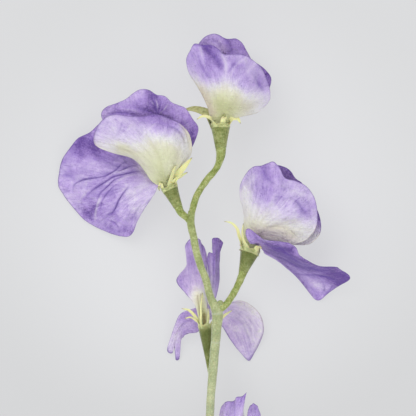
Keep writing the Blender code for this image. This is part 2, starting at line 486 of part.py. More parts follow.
def right_flower(cutter):
    """The blossom on the right, its standard turned on edge and hanging to the surface."""
    cup = Cup((12.6, -23.0, 20.1), (15.3, -14.8, 19.2), 1.65, 3.65)
    pedicel("pedicel_right", cutter, cup, [
        (3.6, -37.0, 21.3, 1.25), (6.0, -35.2, 21.6, 1.25), (9.0, -31.0, 21.3, 1.2)])
    calyx("calyx_right", cup, [
        (180, [(11.0, -10.2, 19.5), (10.0, -7.2, 19.8), (8.2, -5.3, 20.0), (5.8, -4.7, 20.0)]),
        (126, [(12.2, -11.2, 22.4), (11.9, -8.6, 22.8), (12.1, -6.2, 23.0)]),
        (72, [(16.4, -14.3, 23.8), (16.8, -15.2, 24.8)]),
        (288, None),
        (234, None)])
    petal("wing_near_right", "wing", cup, (-0.6, 1.6), (2.6, 0.0), [
        [(13.0, -5.6, 19.5), (12.4, -0.6, 19.8), (10.5, 4.4, 19.8)],
        [(13.6, -4.8, 21.6), (12.8, 1.2, 21.6), (11.1, 7.6, 20.4)],
        [(14.4, -4.4, 23.4), (13.8, 3.0, 23.6), (12.7, 10.6, 21.2)],
        [(15.2, -4.1, 24.8), (15.2, 4.4, 25.4), (14.5, 13.3, 22.0)],
        [(16.0, -4.0, 25.9), (16.8, 5.2, 26.9), (16.6, 15.0, 22.8)],
        [(16.8, -4.0, 26.6), (18.4, 5.4, 27.6), (19.2, 15.3, 23.4)],
        [(17.5, -4.1, 27.1), (20.2, 5.3, 27.9), (21.4, 16.0, 23.6)],
        [(18.1, -4.3, 27.5), (22.0, 4.9, 28.4), (23.6, 16.6, 24.0)],
        [(18.7, -4.6, 27.8), (23.8, 4.2, 29.2), (25.6, 14.4, 25.0)],
        [(19.2, -5.0, 28.0), (25.6, 3.2, 30.0), (27.6, 11.0, 26.0)],
        [(19.7, -5.4, 28.1), (27.4, 2.1, 30.3), (31.6, 9.9, 25.8)],
        [(20.1, -5.9, 28.0), (29.0, 0.8, 30.4), (35.3, 7.9, 25.0)],
        [(20.5, -6.5, 27.6), (30.3, -0.8, 30.2), (37.7, 4.5, 24.4)],
        [(20.7, -7.2, 26.9), (31.1, -2.7, 29.3), (39.1, 0.2, 23.8)],
        [(20.7, -8.0, 25.8), (31.2, -4.9, 27.6), (39.4, -4.2, 23.2)],
        [(20.5, -8.8, 24.4), (30.8, -7.2, 25.4), (38.6, -7.4, 22.5)],
        [(20.1, -9.6, 23.0), (29.8, -9.4, 23.2), (37.0, -9.9, 21.8)],
        [(19.5, -10.4, 21.8), (28.4, -11.4, 21.4), (34.8, -12.0, 21.2)],
        [(18.8, -11.2, 20.8), (26.2, -12.6, 20.4), (31.4, -13.4, 21.0)]])
    petal("wing_far_right", "wing", cup, (-0.6, -0.6), (2.6, 0.0), [
        [(14.0, -6.0, 16.8), (13.6, 1.0, 16.8), (13.0, 8.0, 17.2)],
        [(15.6, -5.2, 13.5), (17.0, 4.0, 12.5), (18.0, 13.6, 16.5)],
        [(17.5, -4.8, 11.5), (21.0, 4.5, 11.5), (24.0, 15.3, 17.5)],
        [(18.3, -5.0, 11.0), (23.0, 4.3, 11.2), (27.4, 14.9, 18.2)],
        [(19.0, -5.2, 10.8), (24.6, 4.0, 11.0), (29.9, 12.9, 18.5)],
        [(19.5, -5.5, 10.8), (26.4, 3.2, 11.0), (32.0, 10.4, 18.2)],
        [(20.0, -5.8, 10.8), (28.0, 2.0, 11.0), (34.6, 7.6, 18.0)],
        [(20.8, -6.8, 11.2), (31.0, -1.0, 11.5), (38.4, 1.6, 17.4)],
        [(20.9, -7.4, 12.0), (32.0, -3.0, 12.4), (40.0, -3.2, 18.4)],
        [(20.8, -8.2, 13.0), (32.2, -5.4, 13.6), (40.7, -7.2, 19.0)],
        [(20.4, -9.2, 14.6), (31.2, -8.2, 15.4), (39.4, -10.5, 19.0)],
        [(19.9, -10.0, 16.0), (29.4, -10.6, 17.0), (36.8, -13.0, 18.8)],
        [(19.2, -10.9, 17.2), (27.0, -12.2, 18.0), (32.8, -13.7, 18.8)]])
    petal("standard_right", "standard", cup, (1.9, 0.0), (0.0, -2.2), [
        [(15.0, -12.6, 23.6), (13.5, -10.0, 25.8), (13.4, -6.4, 27.5)],
        [(16.2, -12.2, 24.4), (15.4, -10.2, 26.8), (15.1, -7.4, 28.4)],
        [(17.6, -12.2, 24.8), (17.4, -10.8, 27.4), (17.6, -9.1, 29.2)],
        [(19.0, -12.6, 24.8), (19.8, -11.8, 27.6), (20.6, -11.2, 29.6)],
        [(20.6, -13.2, 24.4), (22.8, -12.8, 27.4), (25.4, -12.3, 29.8)],
        [(22.0, -13.9, 23.8), (25.4, -13.8, 26.8), (29.2, -13.0, 29.0)],
        [(23.0, -14.6, 23.0), (27.6, -14.8, 26.0), (31.6, -14.1, 28.0)],
        [(23.8, -15.2, 22.2), (29.2, -16.2, 25.0), (32.9, -17.0, 26.8)],
        [(24.5, -15.8, 21.2), (31.2, -17.8, 23.8), (36.0, -19.0, 25.8)],
        [(25.1, -16.3, 20.0), (33.6, -19.3, 22.2), (40.0, -20.6, 24.4)],
        [(25.6, -16.8, 18.4), (36.0, -20.8, 20.0), (45.8, -21.2, 22.0)],
        [(25.8, -17.2, 16.8), (37.8, -22.0, 17.4), (49.2, -22.9, 18.8)],
        [(25.8, -17.5, 15.2), (38.6, -23.2, 14.4), (50.6, -25.0, 14.8)],
        [(25.6, -17.7, 13.8), (38.4, -24.2, 11.4), (48.2, -27.8, 10.0)],
        [(25.2, -17.8, 12.6), (37.4, -25.0, 8.8), (45.4, -29.7, 5.4)],
        [(24.8, -17.8, 11.6), (36.0, -25.2, 6.6), (43.0, -31.4, 2.6)],
        [(24.3, -17.6, 11.0), (34.2, -25.0, 5.0), (40.6, -32.6, 1.2)],
        [(23.8, -17.3, 10.5), (32.4, -24.4, 4.0), (37.4, -31.4, 0.5)],
        [(23.2, -17.0, 10.2), (30.4, -23.4, 3.4), (34.2, -28.0, 0.4)],
        [(22.4, -16.6, 10.3), (28.0, -21.6, 4.0), (31.0, -23.6, 0.8)],
        [(21.6, -16.2, 10.6), (25.4, -19.4, 5.2), (27.8, -20.8, 2.0)],
        [(21.0, -15.4, 11.6), (22.8, -17.0, 7.4), (24.2, -18.2, 4.4)],
        [(20.6, -14.8, 12.6), (20.8, -15.6, 9.4), (21.4, -16.4, 7.0)]], STANDARD_CELLS)
    tube("keel_right", "keel", [
        (14.6, -15.8, 19.7, 0.4), (15.6, -12.2, 19.8, 0.7), (18.5, -8.0, 19.9, 2.0),
        (22.5, -4.0, 20.4, 2.6), (25.5, -1.0, 21.5, 1.2)], KEEL_STEPS, KEEL_FLATNESS)


def rear_flower(cutter):
    """The blossom under the stem, seen from behind, its standard spread on both sides."""
    cup = Cup((0.6, -57.5, 14.9), (-1.0, -42.0, 13.4), 1.0, 2.7)
    pedicel("pedicel_rear", cutter, cup, [
        (1.2, -69.0, 16.8, 1.0), (0.7, -64.0, 15.8, 0.9)])
    calyx("calyx_rear", cup, [
        (108, [(-1.9, -38.6, 17.2), (-2.2, -34.6, 17.9), (-2.0, -30.6, 18.2)]),
        (162, [(-5.0, -38.8, 15.4), (-7.0, -36.9, 15.8), (-9.5, -36.3, 15.8)]),
        (216, [(-4.6, -40.6, 12.4), (-6.2, -39.6, 12.4), (-8.3, -39.9, 12.4)]),
        (54, [(1.1, -39.6, 15.6), (1.6, -37.4, 15.9)]),
        (0, [(3.6, -40.8, 13.2), (6.2, -38.6, 12.8), (8.8, -36.9, 12.4)])])
    petal("wing_near_rear", "wing", cup, (-0.6, 1.1), (1.9, 0.0), [
        [(-4.6, -35.2, 14.2), (-8.0, -31.0, 13.4), (-11.4, -26.3, 12.4), (-8.6, -22.0, 12.0)],
        [(-4.4, -34.2, 14.8), (-6.8, -29.6, 14.2), (-8.8, -24.6, 13.4), (-7.4, -20.0, 12.2)],
        [(-4.0, -33.4, 15.3), (-5.8, -28.4, 15.0), (-7.2, -22.4, 14.4), (-8.4, -15.2, 12.8)],
        [(-3.5, -32.8, 15.7), (-4.8, -27.4, 15.6), (-5.8, -20.6, 15.0), (-7.2, -12.0, 13.6)],
        [(-2.9, -32.4, 15.9), (-3.6, -26.8, 16.0), (-4.2, -19.6, 15.4), (-5.0, -10.4, 14.2)],
        [(-2.3, -32.2, 16.0), (-2.4, -26.6, 16.0), (-2.4, -19.4, 15.4), (-3.0, -11.6, 14.4)],
        [(-1.7, -32.4, 15.8), (-1.3, -27.0, 15.6), (-1.0, -20.6, 15.0), (-0.8, -14.4, 14.0)],
        [(-1.1, -33.0, 15.4), (-0.4, -28.0, 14.8), (0.3, -22.4, 14.4), (0.7, -16.4, 13.8)],
        [(-0.5, -34.0, 14.8), (0.3, -29.4, 14.0), (1.0, -24.6, 13.6), (1.5, -18.6, 13.5)]])
    petal("wing_far_rear", "wing", cup, (0.9, -0.4), (0.0, -1.5), [
        [(1.4, -33.0, 13.6), (1.3, -27.0, 14.0), (1.2, -20.0, 14.4), (1.4, -11.6, 14.4)],
        [(1.9, -32.4, 12.4), (2.2, -26.0, 13.0), (2.4, -18.6, 13.6), (3.0, -10.7, 13.6)],
        [(2.3, -32.2, 11.0), (3.0, -25.4, 11.6), (3.2, -18.0, 12.4), (4.4, -11.3, 12.4)],
        [(2.6, -32.4, 9.4), (3.6, -25.6, 9.8), (3.8, -18.4, 10.6), (5.3, -12.6, 11.0)],
        [(2.7, -32.8, 8.0), (4.0, -26.6, 7.8), (3.9, -20.6, 8.4), (4.2, -15.4, 8.8)]])
    petal("standard_rear", "standard", cup, (-0.3, -1.7), (1.6, 0.0), [
        [(4.4, -42.2, 7.2), (8.0, -47.6, 5.0), (13.0, -54.4, 1.2)],
        [(5.4, -40.4, 7.4), (10.2, -46.2, 5.2), (14.2, -55.6, 0.8)],
        [(6.2, -39.0, 7.5), (12.0, -44.4, 5.4), (15.4, -55.2, 0.8)],
        [(6.8, -37.9, 7.5), (13.6, -42.2, 5.6), (17.0, -52.6, 1.2)],
        [(7.1, -37.0, 7.4), (14.6, -39.8, 5.7), (18.8, -49.0, 2.2)],
        [(7.0, -36.2, 7.3), (14.2, -37.4, 5.6), (20.2, -44.2, 3.4)],
        [(6.6, -35.7, 7.2), (12.6, -35.6, 5.4), (19.0, -38.8, 4.2)],
        [(5.8, -35.6, 7.2), (10.4, -34.4, 5.2), (15.2, -35.0, 4.4)],
        [(4.6, -35.9, 7.4), (7.8, -34.6, 5.4), (11.4, -33.6, 4.6)],
        [(2.6, -36.6, 7.8), (4.4, -35.2, 6.2), (6.8, -34.6, 5.0)],
        [(-0.2, -37.4, 8.2), (0.4, -35.6, 6.8), (1.4, -34.4, 5.4)],
        [(-3.2, -38.2, 8.4), (-4.8, -36.9, 7.4), (-6.8, -36.6, 6.6)],
        [(-4.6, -38.9, 8.4), (-7.8, -38.0, 7.2), (-10.2, -38.6, 6.4)],
        [(-5.1, -39.8, 8.3), (-9.4, -40.4, 6.8), (-12.2, -43.0, 5.2)],
        [(-5.1, -40.8, 8.1), (-10.2, -42.8, 6.2), (-14.2, -51.4, 1.4)],
        [(-4.9, -41.8, 7.9), (-10.0, -43.8, 5.8), (-13.0, -52.6, 1.2)],
        [(-4.5, -42.8, 7.7), (-9.2, -44.4, 5.4), (-10.6, -54.6, 0.9)]], STANDARD_CELLS)
    tube("keel_rear", "keel", [
        (-1.3, -43.4, 13.3, 0.35), (-1.3, -39.5, 13.0, 0.6), (-1.2, -34.0, 12.2, 1.3),
        (-0.8, -29.0, 11.6, 1.5), (-0.4, -25.5, 11.4, 0.7)], KEEL_STEPS, KEEL_FLATNESS)


def lowest_flower(cutter):
    """The half-open blossom lowest on the stem."""
    cup = Cup((6.3, -105.5, 9.6), (9.0, -97.0, 10.4), 1.7, 3.3)
    pedicel("pedicel_lowest", cutter, cup, [
        (0.2, -121.5, 10.0, 1.2), (2.2, -114.0, 9.8, 1.2)])
    calyx("calyx_lowest", cup, [(turn, None) for turn in (54, 126, 198, 270, 342)])
    petal("wing_near_lowest", "wing", cup, (-0.4, 1.5), (2.4, 0.0), [
        [(5.2, -90.0, 12.2), (4.0, -82.0, 12.2), (4.2, -73.4, 13.0)],
        [(5.4, -89.4, 14.2), (4.4, -81.0, 14.6), (5.4, -70.8, 14.0)],
        [(6.0, -89.0, 15.8), (5.4, -80.0, 16.6), (7.2, -69.7, 15.0)],
        [(7.0, -88.5, 17.0), (6.8, -79.4, 18.0), (8.9, -69.7, 15.6)],
        [(8.0, -88.2, 17.8), (8.2, -79.2, 18.6), (10.2, -68.3, 16.0)],
        [(9.2, -88.2, 18.0), (9.8, -79.2, 18.5), (12.4, -67.8, 16.0)],
        [(10.2, -88.6, 17.4), (11.2, -79.6, 17.6), (14.0, -66.7, 15.4)],
        [(11.4, -89.6, 15.6), (12.2, -81.6, 15.2), (11.8, -72.0, 14.4)]])
    petal("wing_far_lowest", "wing", cup, (1.2, -0.6), (0.8, -1.4), [
        [(12.2, -90.0, 12.0), (13.6, -81.0, 12.6), (14.0, -74.2, 13.0)],
        [(13.2, -89.6, 11.2), (15.2, -80.2, 11.6), (15.5, -71.2, 12.6)],
        [(13.8, -89.6, 10.0), (16.2, -80.0, 10.0), (16.7, -70.6, 12.0)],
        [(14.6, -90.2, 7.4), (18.0, -81.0, 6.8), (18.2, -72.4, 9.6)],
        [(14.0, -91.6, 5.4), (18.2, -84.6, 4.2), (19.4, -78.0, 5.0)]])
    petal("standard_lowest", "standard", cup, (-0.4, -1.8), (2.2, 0.0), [
        [(4.8, -93.6, 5.8), (0.4, -95.6, 3.0), (-4.6, -98.6, 0.8)],
        [(4.4, -92.6, 5.2), (-1.0, -92.6, 2.4), (-8.2, -93.4, 0.5)],
        [(4.8, -91.4, 4.5), (-1.4, -89.0, 2.0), (-9.2, -87.2, 0.4)],
        [(6.4, -90.6, 4.0), (2.4, -84.0, 2.0), (-4.0, -80.4, 0.4)],
        [(9.0, -90.0, 3.6), (8.4, -82.4, 1.6), (6.0, -77.2, 0.4)],
        [(11.4, -90.8, 3.2), (14.4, -83.6, 1.4), (16.4, -78.6, 0.4)],
        [(13.4, -92.0, 3.4), (20.0, -88.2, 1.4), (24.6, -83.8, 0.4)],
        [(13.8, -93.4, 4.2), (21.0, -92.6, 1.8), (27.6, -90.8, 0.5)],
        [(13.4, -94.6, 5.0), (19.6, -96.6, 2.4), (25.0, -98.6, 0.8)]], STANDARD_CELLS)
    tube("keel_lowest", "keel", [
        (8.4, -98.2, 10.4, 0.35), (9.1, -94.4, 11.0, 0.6), (10.6, -87.0, 11.0, 1.7),
        (11.6, -79.0, 11.2, 1.7), (12.1, -72.0, 11.6, 0.6)], KEEL_STEPS, KEEL_FLATNESS)


def settle():
    """Move every mesh so that the origin is the middle of the box at surface level."""
    pieces = [piece for piece in bpy.data.objects if piece.type == "MESH"]
    shown = [piece for piece in pieces if not piece.hide_render]
    corners = np.concatenate([[vertex.co for vertex in piece.data.vertices] for piece in shown])
    low = corners.min(axis=0)
    high = corners.max(axis=0)
    shift = -np.array([(low[0] + high[0]) / 2, (low[1] + high[1]) / 2, low[2]])
    for piece in pieces:
        for vertex in piece.data.vertices:
            vertex.co = [value + move for value, move in zip(vertex.co, shift)]


def main():
    """Clear the scene and build the whole spray."""
    for old in list(bpy.data.objects):
        bpy.data.objects.remove(old)
    cutter = stem()
    top_flower()
    left_flower(cutter)
    right_flower(cutter)
    rear_flower(cutter)
    lowest_flower(cutter)
    settle()


main()
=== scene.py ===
"""Sweet pea flower: the finished petals, cups and stalks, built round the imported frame."""
import math

import bpy
import numpy as np
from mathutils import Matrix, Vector


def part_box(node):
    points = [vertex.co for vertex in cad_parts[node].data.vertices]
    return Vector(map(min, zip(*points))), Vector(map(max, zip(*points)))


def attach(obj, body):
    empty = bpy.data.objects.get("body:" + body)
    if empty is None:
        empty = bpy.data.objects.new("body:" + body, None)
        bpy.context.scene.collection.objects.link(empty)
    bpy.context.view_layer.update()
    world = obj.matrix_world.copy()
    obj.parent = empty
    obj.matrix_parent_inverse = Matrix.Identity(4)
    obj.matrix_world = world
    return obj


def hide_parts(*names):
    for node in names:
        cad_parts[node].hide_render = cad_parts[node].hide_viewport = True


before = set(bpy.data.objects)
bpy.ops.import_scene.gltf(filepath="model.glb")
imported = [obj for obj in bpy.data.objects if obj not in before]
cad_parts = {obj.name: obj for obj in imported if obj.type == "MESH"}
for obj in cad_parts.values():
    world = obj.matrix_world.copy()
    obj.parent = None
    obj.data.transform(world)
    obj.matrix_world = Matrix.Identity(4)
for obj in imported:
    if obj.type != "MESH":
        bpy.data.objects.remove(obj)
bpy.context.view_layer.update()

MM = 0.001

# The plant's own coordinates are millimetres with the middle of the view at zero.  The stem's
# cut end and its other extremes place them in the frame.
STEM_SIDES = 30
STEM_ROUTE = [
    (-2.0, -190.0, 1.9, 1.8),
    (-1.3, -168.0, 4.1, 1.7),
    (-0.4, -145.0, 6.9, 1.65),
    (0.2, -121.0, 10.0, 1.75),
    (0.7, -97.0, 13.1, 1.55),
    (0.8, -72.0, 16.4, 1.5),
    (2.1, -55.0, 18.8, 1.65),
    (3.1, -42.5, 20.5, 1.8),
    (3.3, -37.2, 21.3, 2.0),
    (1.2, -33.0, 22.0, 1.45),
    (-0.8, -25.7, 22.5, 1.35),
    (-3.6, -17.9, 22.5, 1.35),
    (-5.3, -10.0, 22.2, 1.35),
    (-6.2, -4.8, 21.7, 1.4),
    (-5.9, -1.2, 21.3, 1.25),
]

# Petals.  A petal's claw starts CLAW_DEPTH inside its cup, narrowed by CLAW_TAPER, and its neck
# stands NECK_RISE above the cup's mouth at the share NECK_PLACE of the petal's length.
NECK_PLACE = 0.1
CLAW_DEPTH = 2.0
CLAW_TAPER = 0.7
NECK_RISE = 0.9
CLAW_TONE = 0.05
PETAL_CELLS = (160, 90)
EDGE_THICKNESS = 0.13
BASE_THICKNESS = 0.3
CORNER_WIDTH = 0.1
CORNER_DEPTH = 0.16
LOWEST = 0.25
RIM_WIDTH = 0.4
RUFFLE = 0.3

# Folds are drawn along given routes; crumples, veins and ridges are seeded wrinkles with
# their own size across and along the petal.
# Folds are painted with shade in proportion to their darkness.
FOLD_SHARPNESS = 0.8
FOLD_SHADE_CONTRAST = 1.25
FOLD_STEPS = 8
WASH_STEPS = 6
CRUMPLE_SIZE = (6.5, 10.0)
VEIN_SIZE = (1.7, 11.0)
RIDGE_SIZE = (4.2, 12.0)
VEIN_DEPTH = 0.05
NOISE_CELLS = 61
FAR = 1e9
TINY = 1e-9


# ---------------------------------------------------------------- curves and vectors

def unit(vector):
    """The vector at length one."""
    return vector / np.linalg.norm(vector)


def smooth(points, knots, at):
    """Points of a smooth curve that passes through the given points at the given knots."""
    points = np.asarray(points, float)
    knots = np.asarray(knots, float)
    slopes = np.gradient(points, knots, axis=0, edge_order=1)
    span = np.clip(np.searchsorted(knots, at, side="right") - 1, 0, len(knots) - 2)
    width = knots[span + 1] - knots[span]
    s = (at - knots[span]) / width
    shape = (-1,) + (1,) * (points.ndim - 1)
    s = s.reshape(shape)
    width = width.reshape(shape)
    return (
        points[span] * (1 + 2 * s) * (1 - s) ** 2
        + slopes[span] * width * s * (1 - s) ** 2
        + points[span + 1] * s**2 * (3 - 2 * s)
        + slopes[span + 1] * width * s**2 * (s - 1)
    )


def rising(values, start, width):
    """0 up to the start, then rising evenly to 1 over the given width."""
    return np.clip((values - start) / width, 0, 1)


def evenly(points, count):
    """The given number of even steps along a smooth curve through the points."""
    points = np.asarray(points, float)
    chords = np.linalg.norm(np.diff(points[:, :3], axis=0), axis=1)
    knots = np.concatenate([[0.0], np.cumsum(chords)])
    return smooth(points, knots, np.linspace(0, knots[-1], count + 1))


def waves(values, across, seed, count, low, high, drift=0.0):
    """A steady irregular ripple between -1 and 1: sines of unrelated rates and phases."""
    draw = np.random.default_rng(seed)
    total = np.zeros(np.broadcast(values, across).shape)
    for _ in range(count):
        rate = draw.uniform(low, high)
        phase = draw.uniform(0, 2 * math.pi)
        lean = draw.uniform(-drift, drift)
        total += np.sin(2 * math.pi * (rate * values + lean * across) + phase)
    return total / math.sqrt(count)


def soft_noise(x, y, seed):
    """Smooth seeded noise from 0 to 1 over the plane, with one cell to each unit."""
    table = np.random.default_rng(seed).random((NOISE_CELLS, NOISE_CELLS))
    left = np.floor(x).astype(int)
    low = np.floor(y).astype(int)
    s = x - left
    t = y - low
    s = s * s * (3 - 2 * s)
    t = t * t * (3 - 2 * t)
    right, high = (left + 1) % NOISE_CELLS, (low + 1) % NOISE_CELLS
    left, low = left % NOISE_CELLS, low % NOISE_CELLS
    below = table[left, low] * (1 - s) + table[right, low] * s
    above = table[left, high] * (1 - s) + table[right, high] * s
    return below * (1 - t) + above * t


def wrinkles(x, y, seed, sharp):
    """Irregular branching wrinkles: 1 along each thin line, falling away to 0 between them."""
    bend_x = x + 0.9 * soft_noise(x * 0.7, y * 0.7, seed + 1)
    bend_y = y + 0.9 * soft_noise(x * 0.6, y * 0.9, seed + 2)
    coarse = 1 - np.abs(2 * soft_noise(bend_x, bend_y, seed + 3) - 1)
    fine = 1 - np.abs(2 * soft_noise(bend_x * 2.1, bend_y * 1.9, seed + 4) - 1)
    strength = 0.35 + 0.65 * soft_noise(x * 0.8, y * 0.8, seed + 5)
    return np.clip(coarse**sharp + 0.5 * fine ** (sharp * 1.3), 0, 1) * strength


# ---------------------------------------------------------------- frame

def plant_shift():
    """How far the plant's coordinates lie from the frame's, from the stem's box."""
    route = evenly(STEM_ROUTE, 400)
    low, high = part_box("stem")
    middle = (Vector(low) + Vector(high)) / 2
    own_low = (route[:, :3] - route[:, 3:]).min(axis=0)
    own_high = (route[:, :3] + route[:, 3:]).max(axis=0)
    own_low[1] = route[0, 1]
    own_high[1] = route[-1, 1]
    return np.array(middle) - (own_low + own_high) / 2 * MM


SHIFT = plant_shift()


def placed(points):
    """Points of the plant, in millimetres, as places in the frame, in metres."""
    return np.asarray(points, float) * MM + SHIFT


# ---------------------------------------------------------------- materials

def rgb(red, green, blue):
    """A colour given as 0 to 255 on a screen, as the linear light that shaders work in."""
    channels = [value / 255 for value in (red, green, blue)]
    linear = [c / 12.92 if c <= 0.04045 else ((c + 0.055) / 1.055) ** 2.4 for c in channels]
    return (*linear, 1.0)


class Nodes:
    """A material's node tree with short ways to add and join nodes."""

    def __init__(self, name):
        self.material = bpy.data.materials.new(name)
        self.material.use_nodes = True
        self.tree = self.material.node_tree
        self.surface = self.tree.nodes["Principled BSDF"]

    def add(self, kind, **settings):
        """One node, with its settings."""
        node = self.tree.nodes.new("ShaderNode" + kind)
        for key, value in settings.items():
            setattr(node, key, value)
        return node

    def join(self, source, target):
        """Feed a target input from a source output."""
        self.tree.links.new(source, target)

    def paint(self, channel):
        """One of the numbers painted on the mesh's points."""
        return self.add("Attribute", attribute_name=channel).outputs["Fac"]

    def feed(self, value, socket):
        """Set a socket to a number, or feed it from another socket."""
        if isinstance(value, (int, float)):
            socket.default_value = value
        else:
            self.join(value, socket)

    def math(self, operation, first, second=0.0, clamp=False):
        """The result of one sum."""
        node = self.add("Math", operation=operation, use_clamp=clamp)
        self.feed(first, node.inputs[0])
        self.feed(second, node.inputs[1])
        return node.outputs[0]

    def between(self, value, low, high, start=0.0, end=1.0):
        """A value spread smoothly from one range to another."""
        node = self.add("MapRange", interpolation_type="SMOOTHSTEP")
        self.feed(value, node.inputs["Value"])
        for name, number in (("From Min", low), ("From Max", high), ("To Min", start), ("To Max", end)):
            node.inputs[name].default_value = number
        return node.outputs["Result"]

    def noise(self, where, scale, detail=3.0, roughness=0.55, distortion=0.0):
        """Soft noise over the given coordinates."""
        node = self.add("TexNoise")
        self.join(where, node.inputs["Vector"])
        node.inputs["Scale"].default_value = scale
        node.inputs["Detail"].default_value = detail
        node.inputs["Roughness"].default_value = roughness
        node.inputs["Distortion"].default_value = distortion
        return node.outputs["Fac"]

    def stretch(self, where, scale):
        """Coordinates stretched before a texture reads them."""
        node = self.add("Mapping")
        self.join(where, node.inputs["Vector"])
        node.inputs["Scale"].default_value = scale
        return node.outputs["Vector"]

    def ramp(self, value, stops):
        """Colours along a value; each stop is (place, colour)."""
        node = self.add("ValToRGB")
        self.join(value, node.inputs["Fac"])
        points = node.color_ramp.elements
        while len(points) < len(stops):
            points.new(0.5)
        for point, (place, colour) in zip(points, stops):
            point.position = place
            point.color = colour
        return node.outputs["Color"]

    def mix(self, share, first, second):
        """Two colours blended by a share."""
        node = self.add("Mix", data_type="RGBA")
        self.feed(share, node.inputs["Factor"])
        for colour, socket in ((first, node.inputs["A"]), (second, node.inputs["B"])):
            if isinstance(colour, tuple):
                socket.default_value = colour
            else:
                self.join(colour, socket)
        return node.outputs["Result"]

    def bump(self, height, distance, strength=1.0):
        """Feed the surface's normal from a height."""
        node = self.add("Bump")
        self.join(height, node.inputs["Height"])
        node.inputs["Distance"].default_value = distance
        node.inputs["Strength"].default_value = strength
        self.join(node.outputs["Normal"], self.surface.inputs["Normal"])

    def finish(self, colour, roughness, **constants):
        """Set the surface's colour, roughness and plain numbers."""
        self.join(colour, self.surface.inputs["Base Color"])
        self.feed(roughness, self.surface.inputs["Roughness"])
        for name, value in constants.items():
            self.surface.inputs[name.replace("_", " ")].default_value = value
        return self.material


PETAL_RAMP = [
    (0.00, rgb(204, 208, 146)),
    (0.12, rgb(228, 229, 188)),
    (0.26, rgb(236, 233, 210)),
    (0.40, rgb(240, 236, 238)),
    (0.54, rgb(226, 213, 242)),
    (0.68, rgb(206, 184, 234)),
    (0.82, rgb(181, 154, 218)),
    (0.92, rgb(150, 121, 190)),
    (1.00, rgb(106, 74, 154)),
]
BUFF = rgb(246, 234, 208)
# The deep lilac and cream are painted shade in folds and the colour of the veins; the glow is painted
# highlight.
SHADE_AND_VEIN_LILAC = rgb(112, 84, 170)
SHADE_AND_VEIN_CREAM = rgb(140, 120, 70)
PAINTED_HIGHLIGHT = rgb(244, 236, 250)
RIM_LILAC = rgb(102, 74, 152)
RIM_CREAM = rgb(206, 192, 158)

# The scale of each noise pattern of the petals and of the green skins, about as many patches
# to a metre.
CLOUDS = 70.0
MOTTLE = 210.0
RUCKS = 620.0
SPECKS = 1700.0
BLOTCHES = 300.0
SPECKLES = 1500.0
FUZZ = 4200.0


def petal_material(name, mottling, veining, sheen):
    """Thin petal: painted tone from claw to rim, mottled, with painted shade in folds, painted highlight
    on ridges, and darker along the rim.
    """
    nodes = Nodes(name)
    tone, fold = nodes.paint("tone"), nodes.paint("fold")
    buff, rim = nodes.paint("buff"), nodes.paint("rim")
    grain = nodes.add("UVMap", uv_map="veins").outputs["UV"]
    place = nodes.add("TexCoord").outputs["Object"]
    streaks = nodes.noise(nodes.stretch(grain, (1.0, 0.12, 1.0)), 1.4, 5.0, 0.62, 0.6)
    mottle = nodes.noise(place, MOTTLE, 5.0, 0.62, 0.4)
    broad = nodes.noise(place, CLOUDS, 2.0, 0.5)
    cells = nodes.noise(place, SPECKS, 2.0, 0.5)

    # The painted tone wavers a little, less where it is pale, and picks the colour.
    shifts = nodes.math("MULTIPLY", nodes.math("SUBTRACT", streaks, 0.5), mottling * 0.55)
    patches = nodes.math("MULTIPLY", nodes.math("SUBTRACT", mottle, 0.5), mottling)
    clouds = nodes.math("MULTIPLY", nodes.math("SUBTRACT", broad, 0.5), mottling * 0.5)
    specks = nodes.math("MULTIPLY", nodes.math("SUBTRACT", cells, 0.5), mottling * 0.5)
    shifts = nodes.math("ADD", nodes.math("ADD", shifts, patches), nodes.math("ADD", clouds, specks))
    shifts = nodes.math("MULTIPLY", shifts, nodes.between(tone, 0.1, 0.6, 0.4, 1.0))
    colour = nodes.ramp(nodes.math("ADD", tone, shifts, clamp=True), PETAL_RAMP)

    # Buff patches, painted shade in folds and painted highlight on ridges and shaded places, and the rim,
    # which is darker where the petal is lilac.
    lilac = nodes.between(tone, 0.36, 0.62)
    colour = nodes.mix(nodes.math("MULTIPLY", buff, 0.85), colour, BUFF)
    shade_and_vein_colour = nodes.mix(lilac, SHADE_AND_VEIN_CREAM, SHADE_AND_VEIN_LILAC)
    painted_shade_share = nodes.math("MULTIPLY", fold, 0.8, clamp=True)
    colour = nodes.mix(painted_shade_share, colour, shade_and_vein_colour)
    painted_highlight_share = nodes.math("MULTIPLY", fold, -0.7, clamp=True)
    colour = nodes.mix(painted_highlight_share, colour, PAINTED_HIGHLIGHT)
    edge = nodes.mix(lilac, RIM_CREAM, RIM_LILAC)
    colour = nodes.mix(nodes.math("MULTIPLY", rim, 0.8), colour, edge)

    # Thin veins that run out along the petal, and the small relief of its skin.
    fibres = nodes.noise(nodes.stretch(grain, (1.0, 0.2, 1.0)), 0.8, 3.0, 0.55, 1.2)
    thin = nodes.between(nodes.math("ABSOLUTE", nodes.math("SUBTRACT", fibres, 0.5)), 0.0, 0.03, 1.0, 0.0)
    shown = nodes.math("MULTIPLY", thin, nodes.between(mottle, 0.35, 0.65, 0.15, 1.0))
    shown = nodes.math("MULTIPLY", shown, nodes.between(tone, 0.3, 0.6, 0.15, veining))
    colour = nodes.mix(shown, colour, shade_and_vein_colour)
    rucks = nodes.noise(place, RUCKS, 3.0, 0.6, 0.8)
    height = nodes.math("ADD", streaks, nodes.math("MULTIPLY", cells, 0.3))
    height = nodes.math("ADD", height, nodes.math("MULTIPLY", rucks, 3.0))
    height = nodes.math("SUBTRACT", height, nodes.math("MULTIPLY", shown, 0.5))
    nodes.bump(height, 0.0005, 0.7)
    rough = nodes.between(mottle, 0.2, 0.8, 0.5, 0.68)
    return nodes.finish(colour, rough, Subsurface_Weight=0.25, Subsurface_Scale=0.0004,
                        Subsurface_Radius=(1.0, 0.85, 1.0), Sheen_Weight=sheen,
                        Sheen_Roughness=0.5, IOR=1.38)


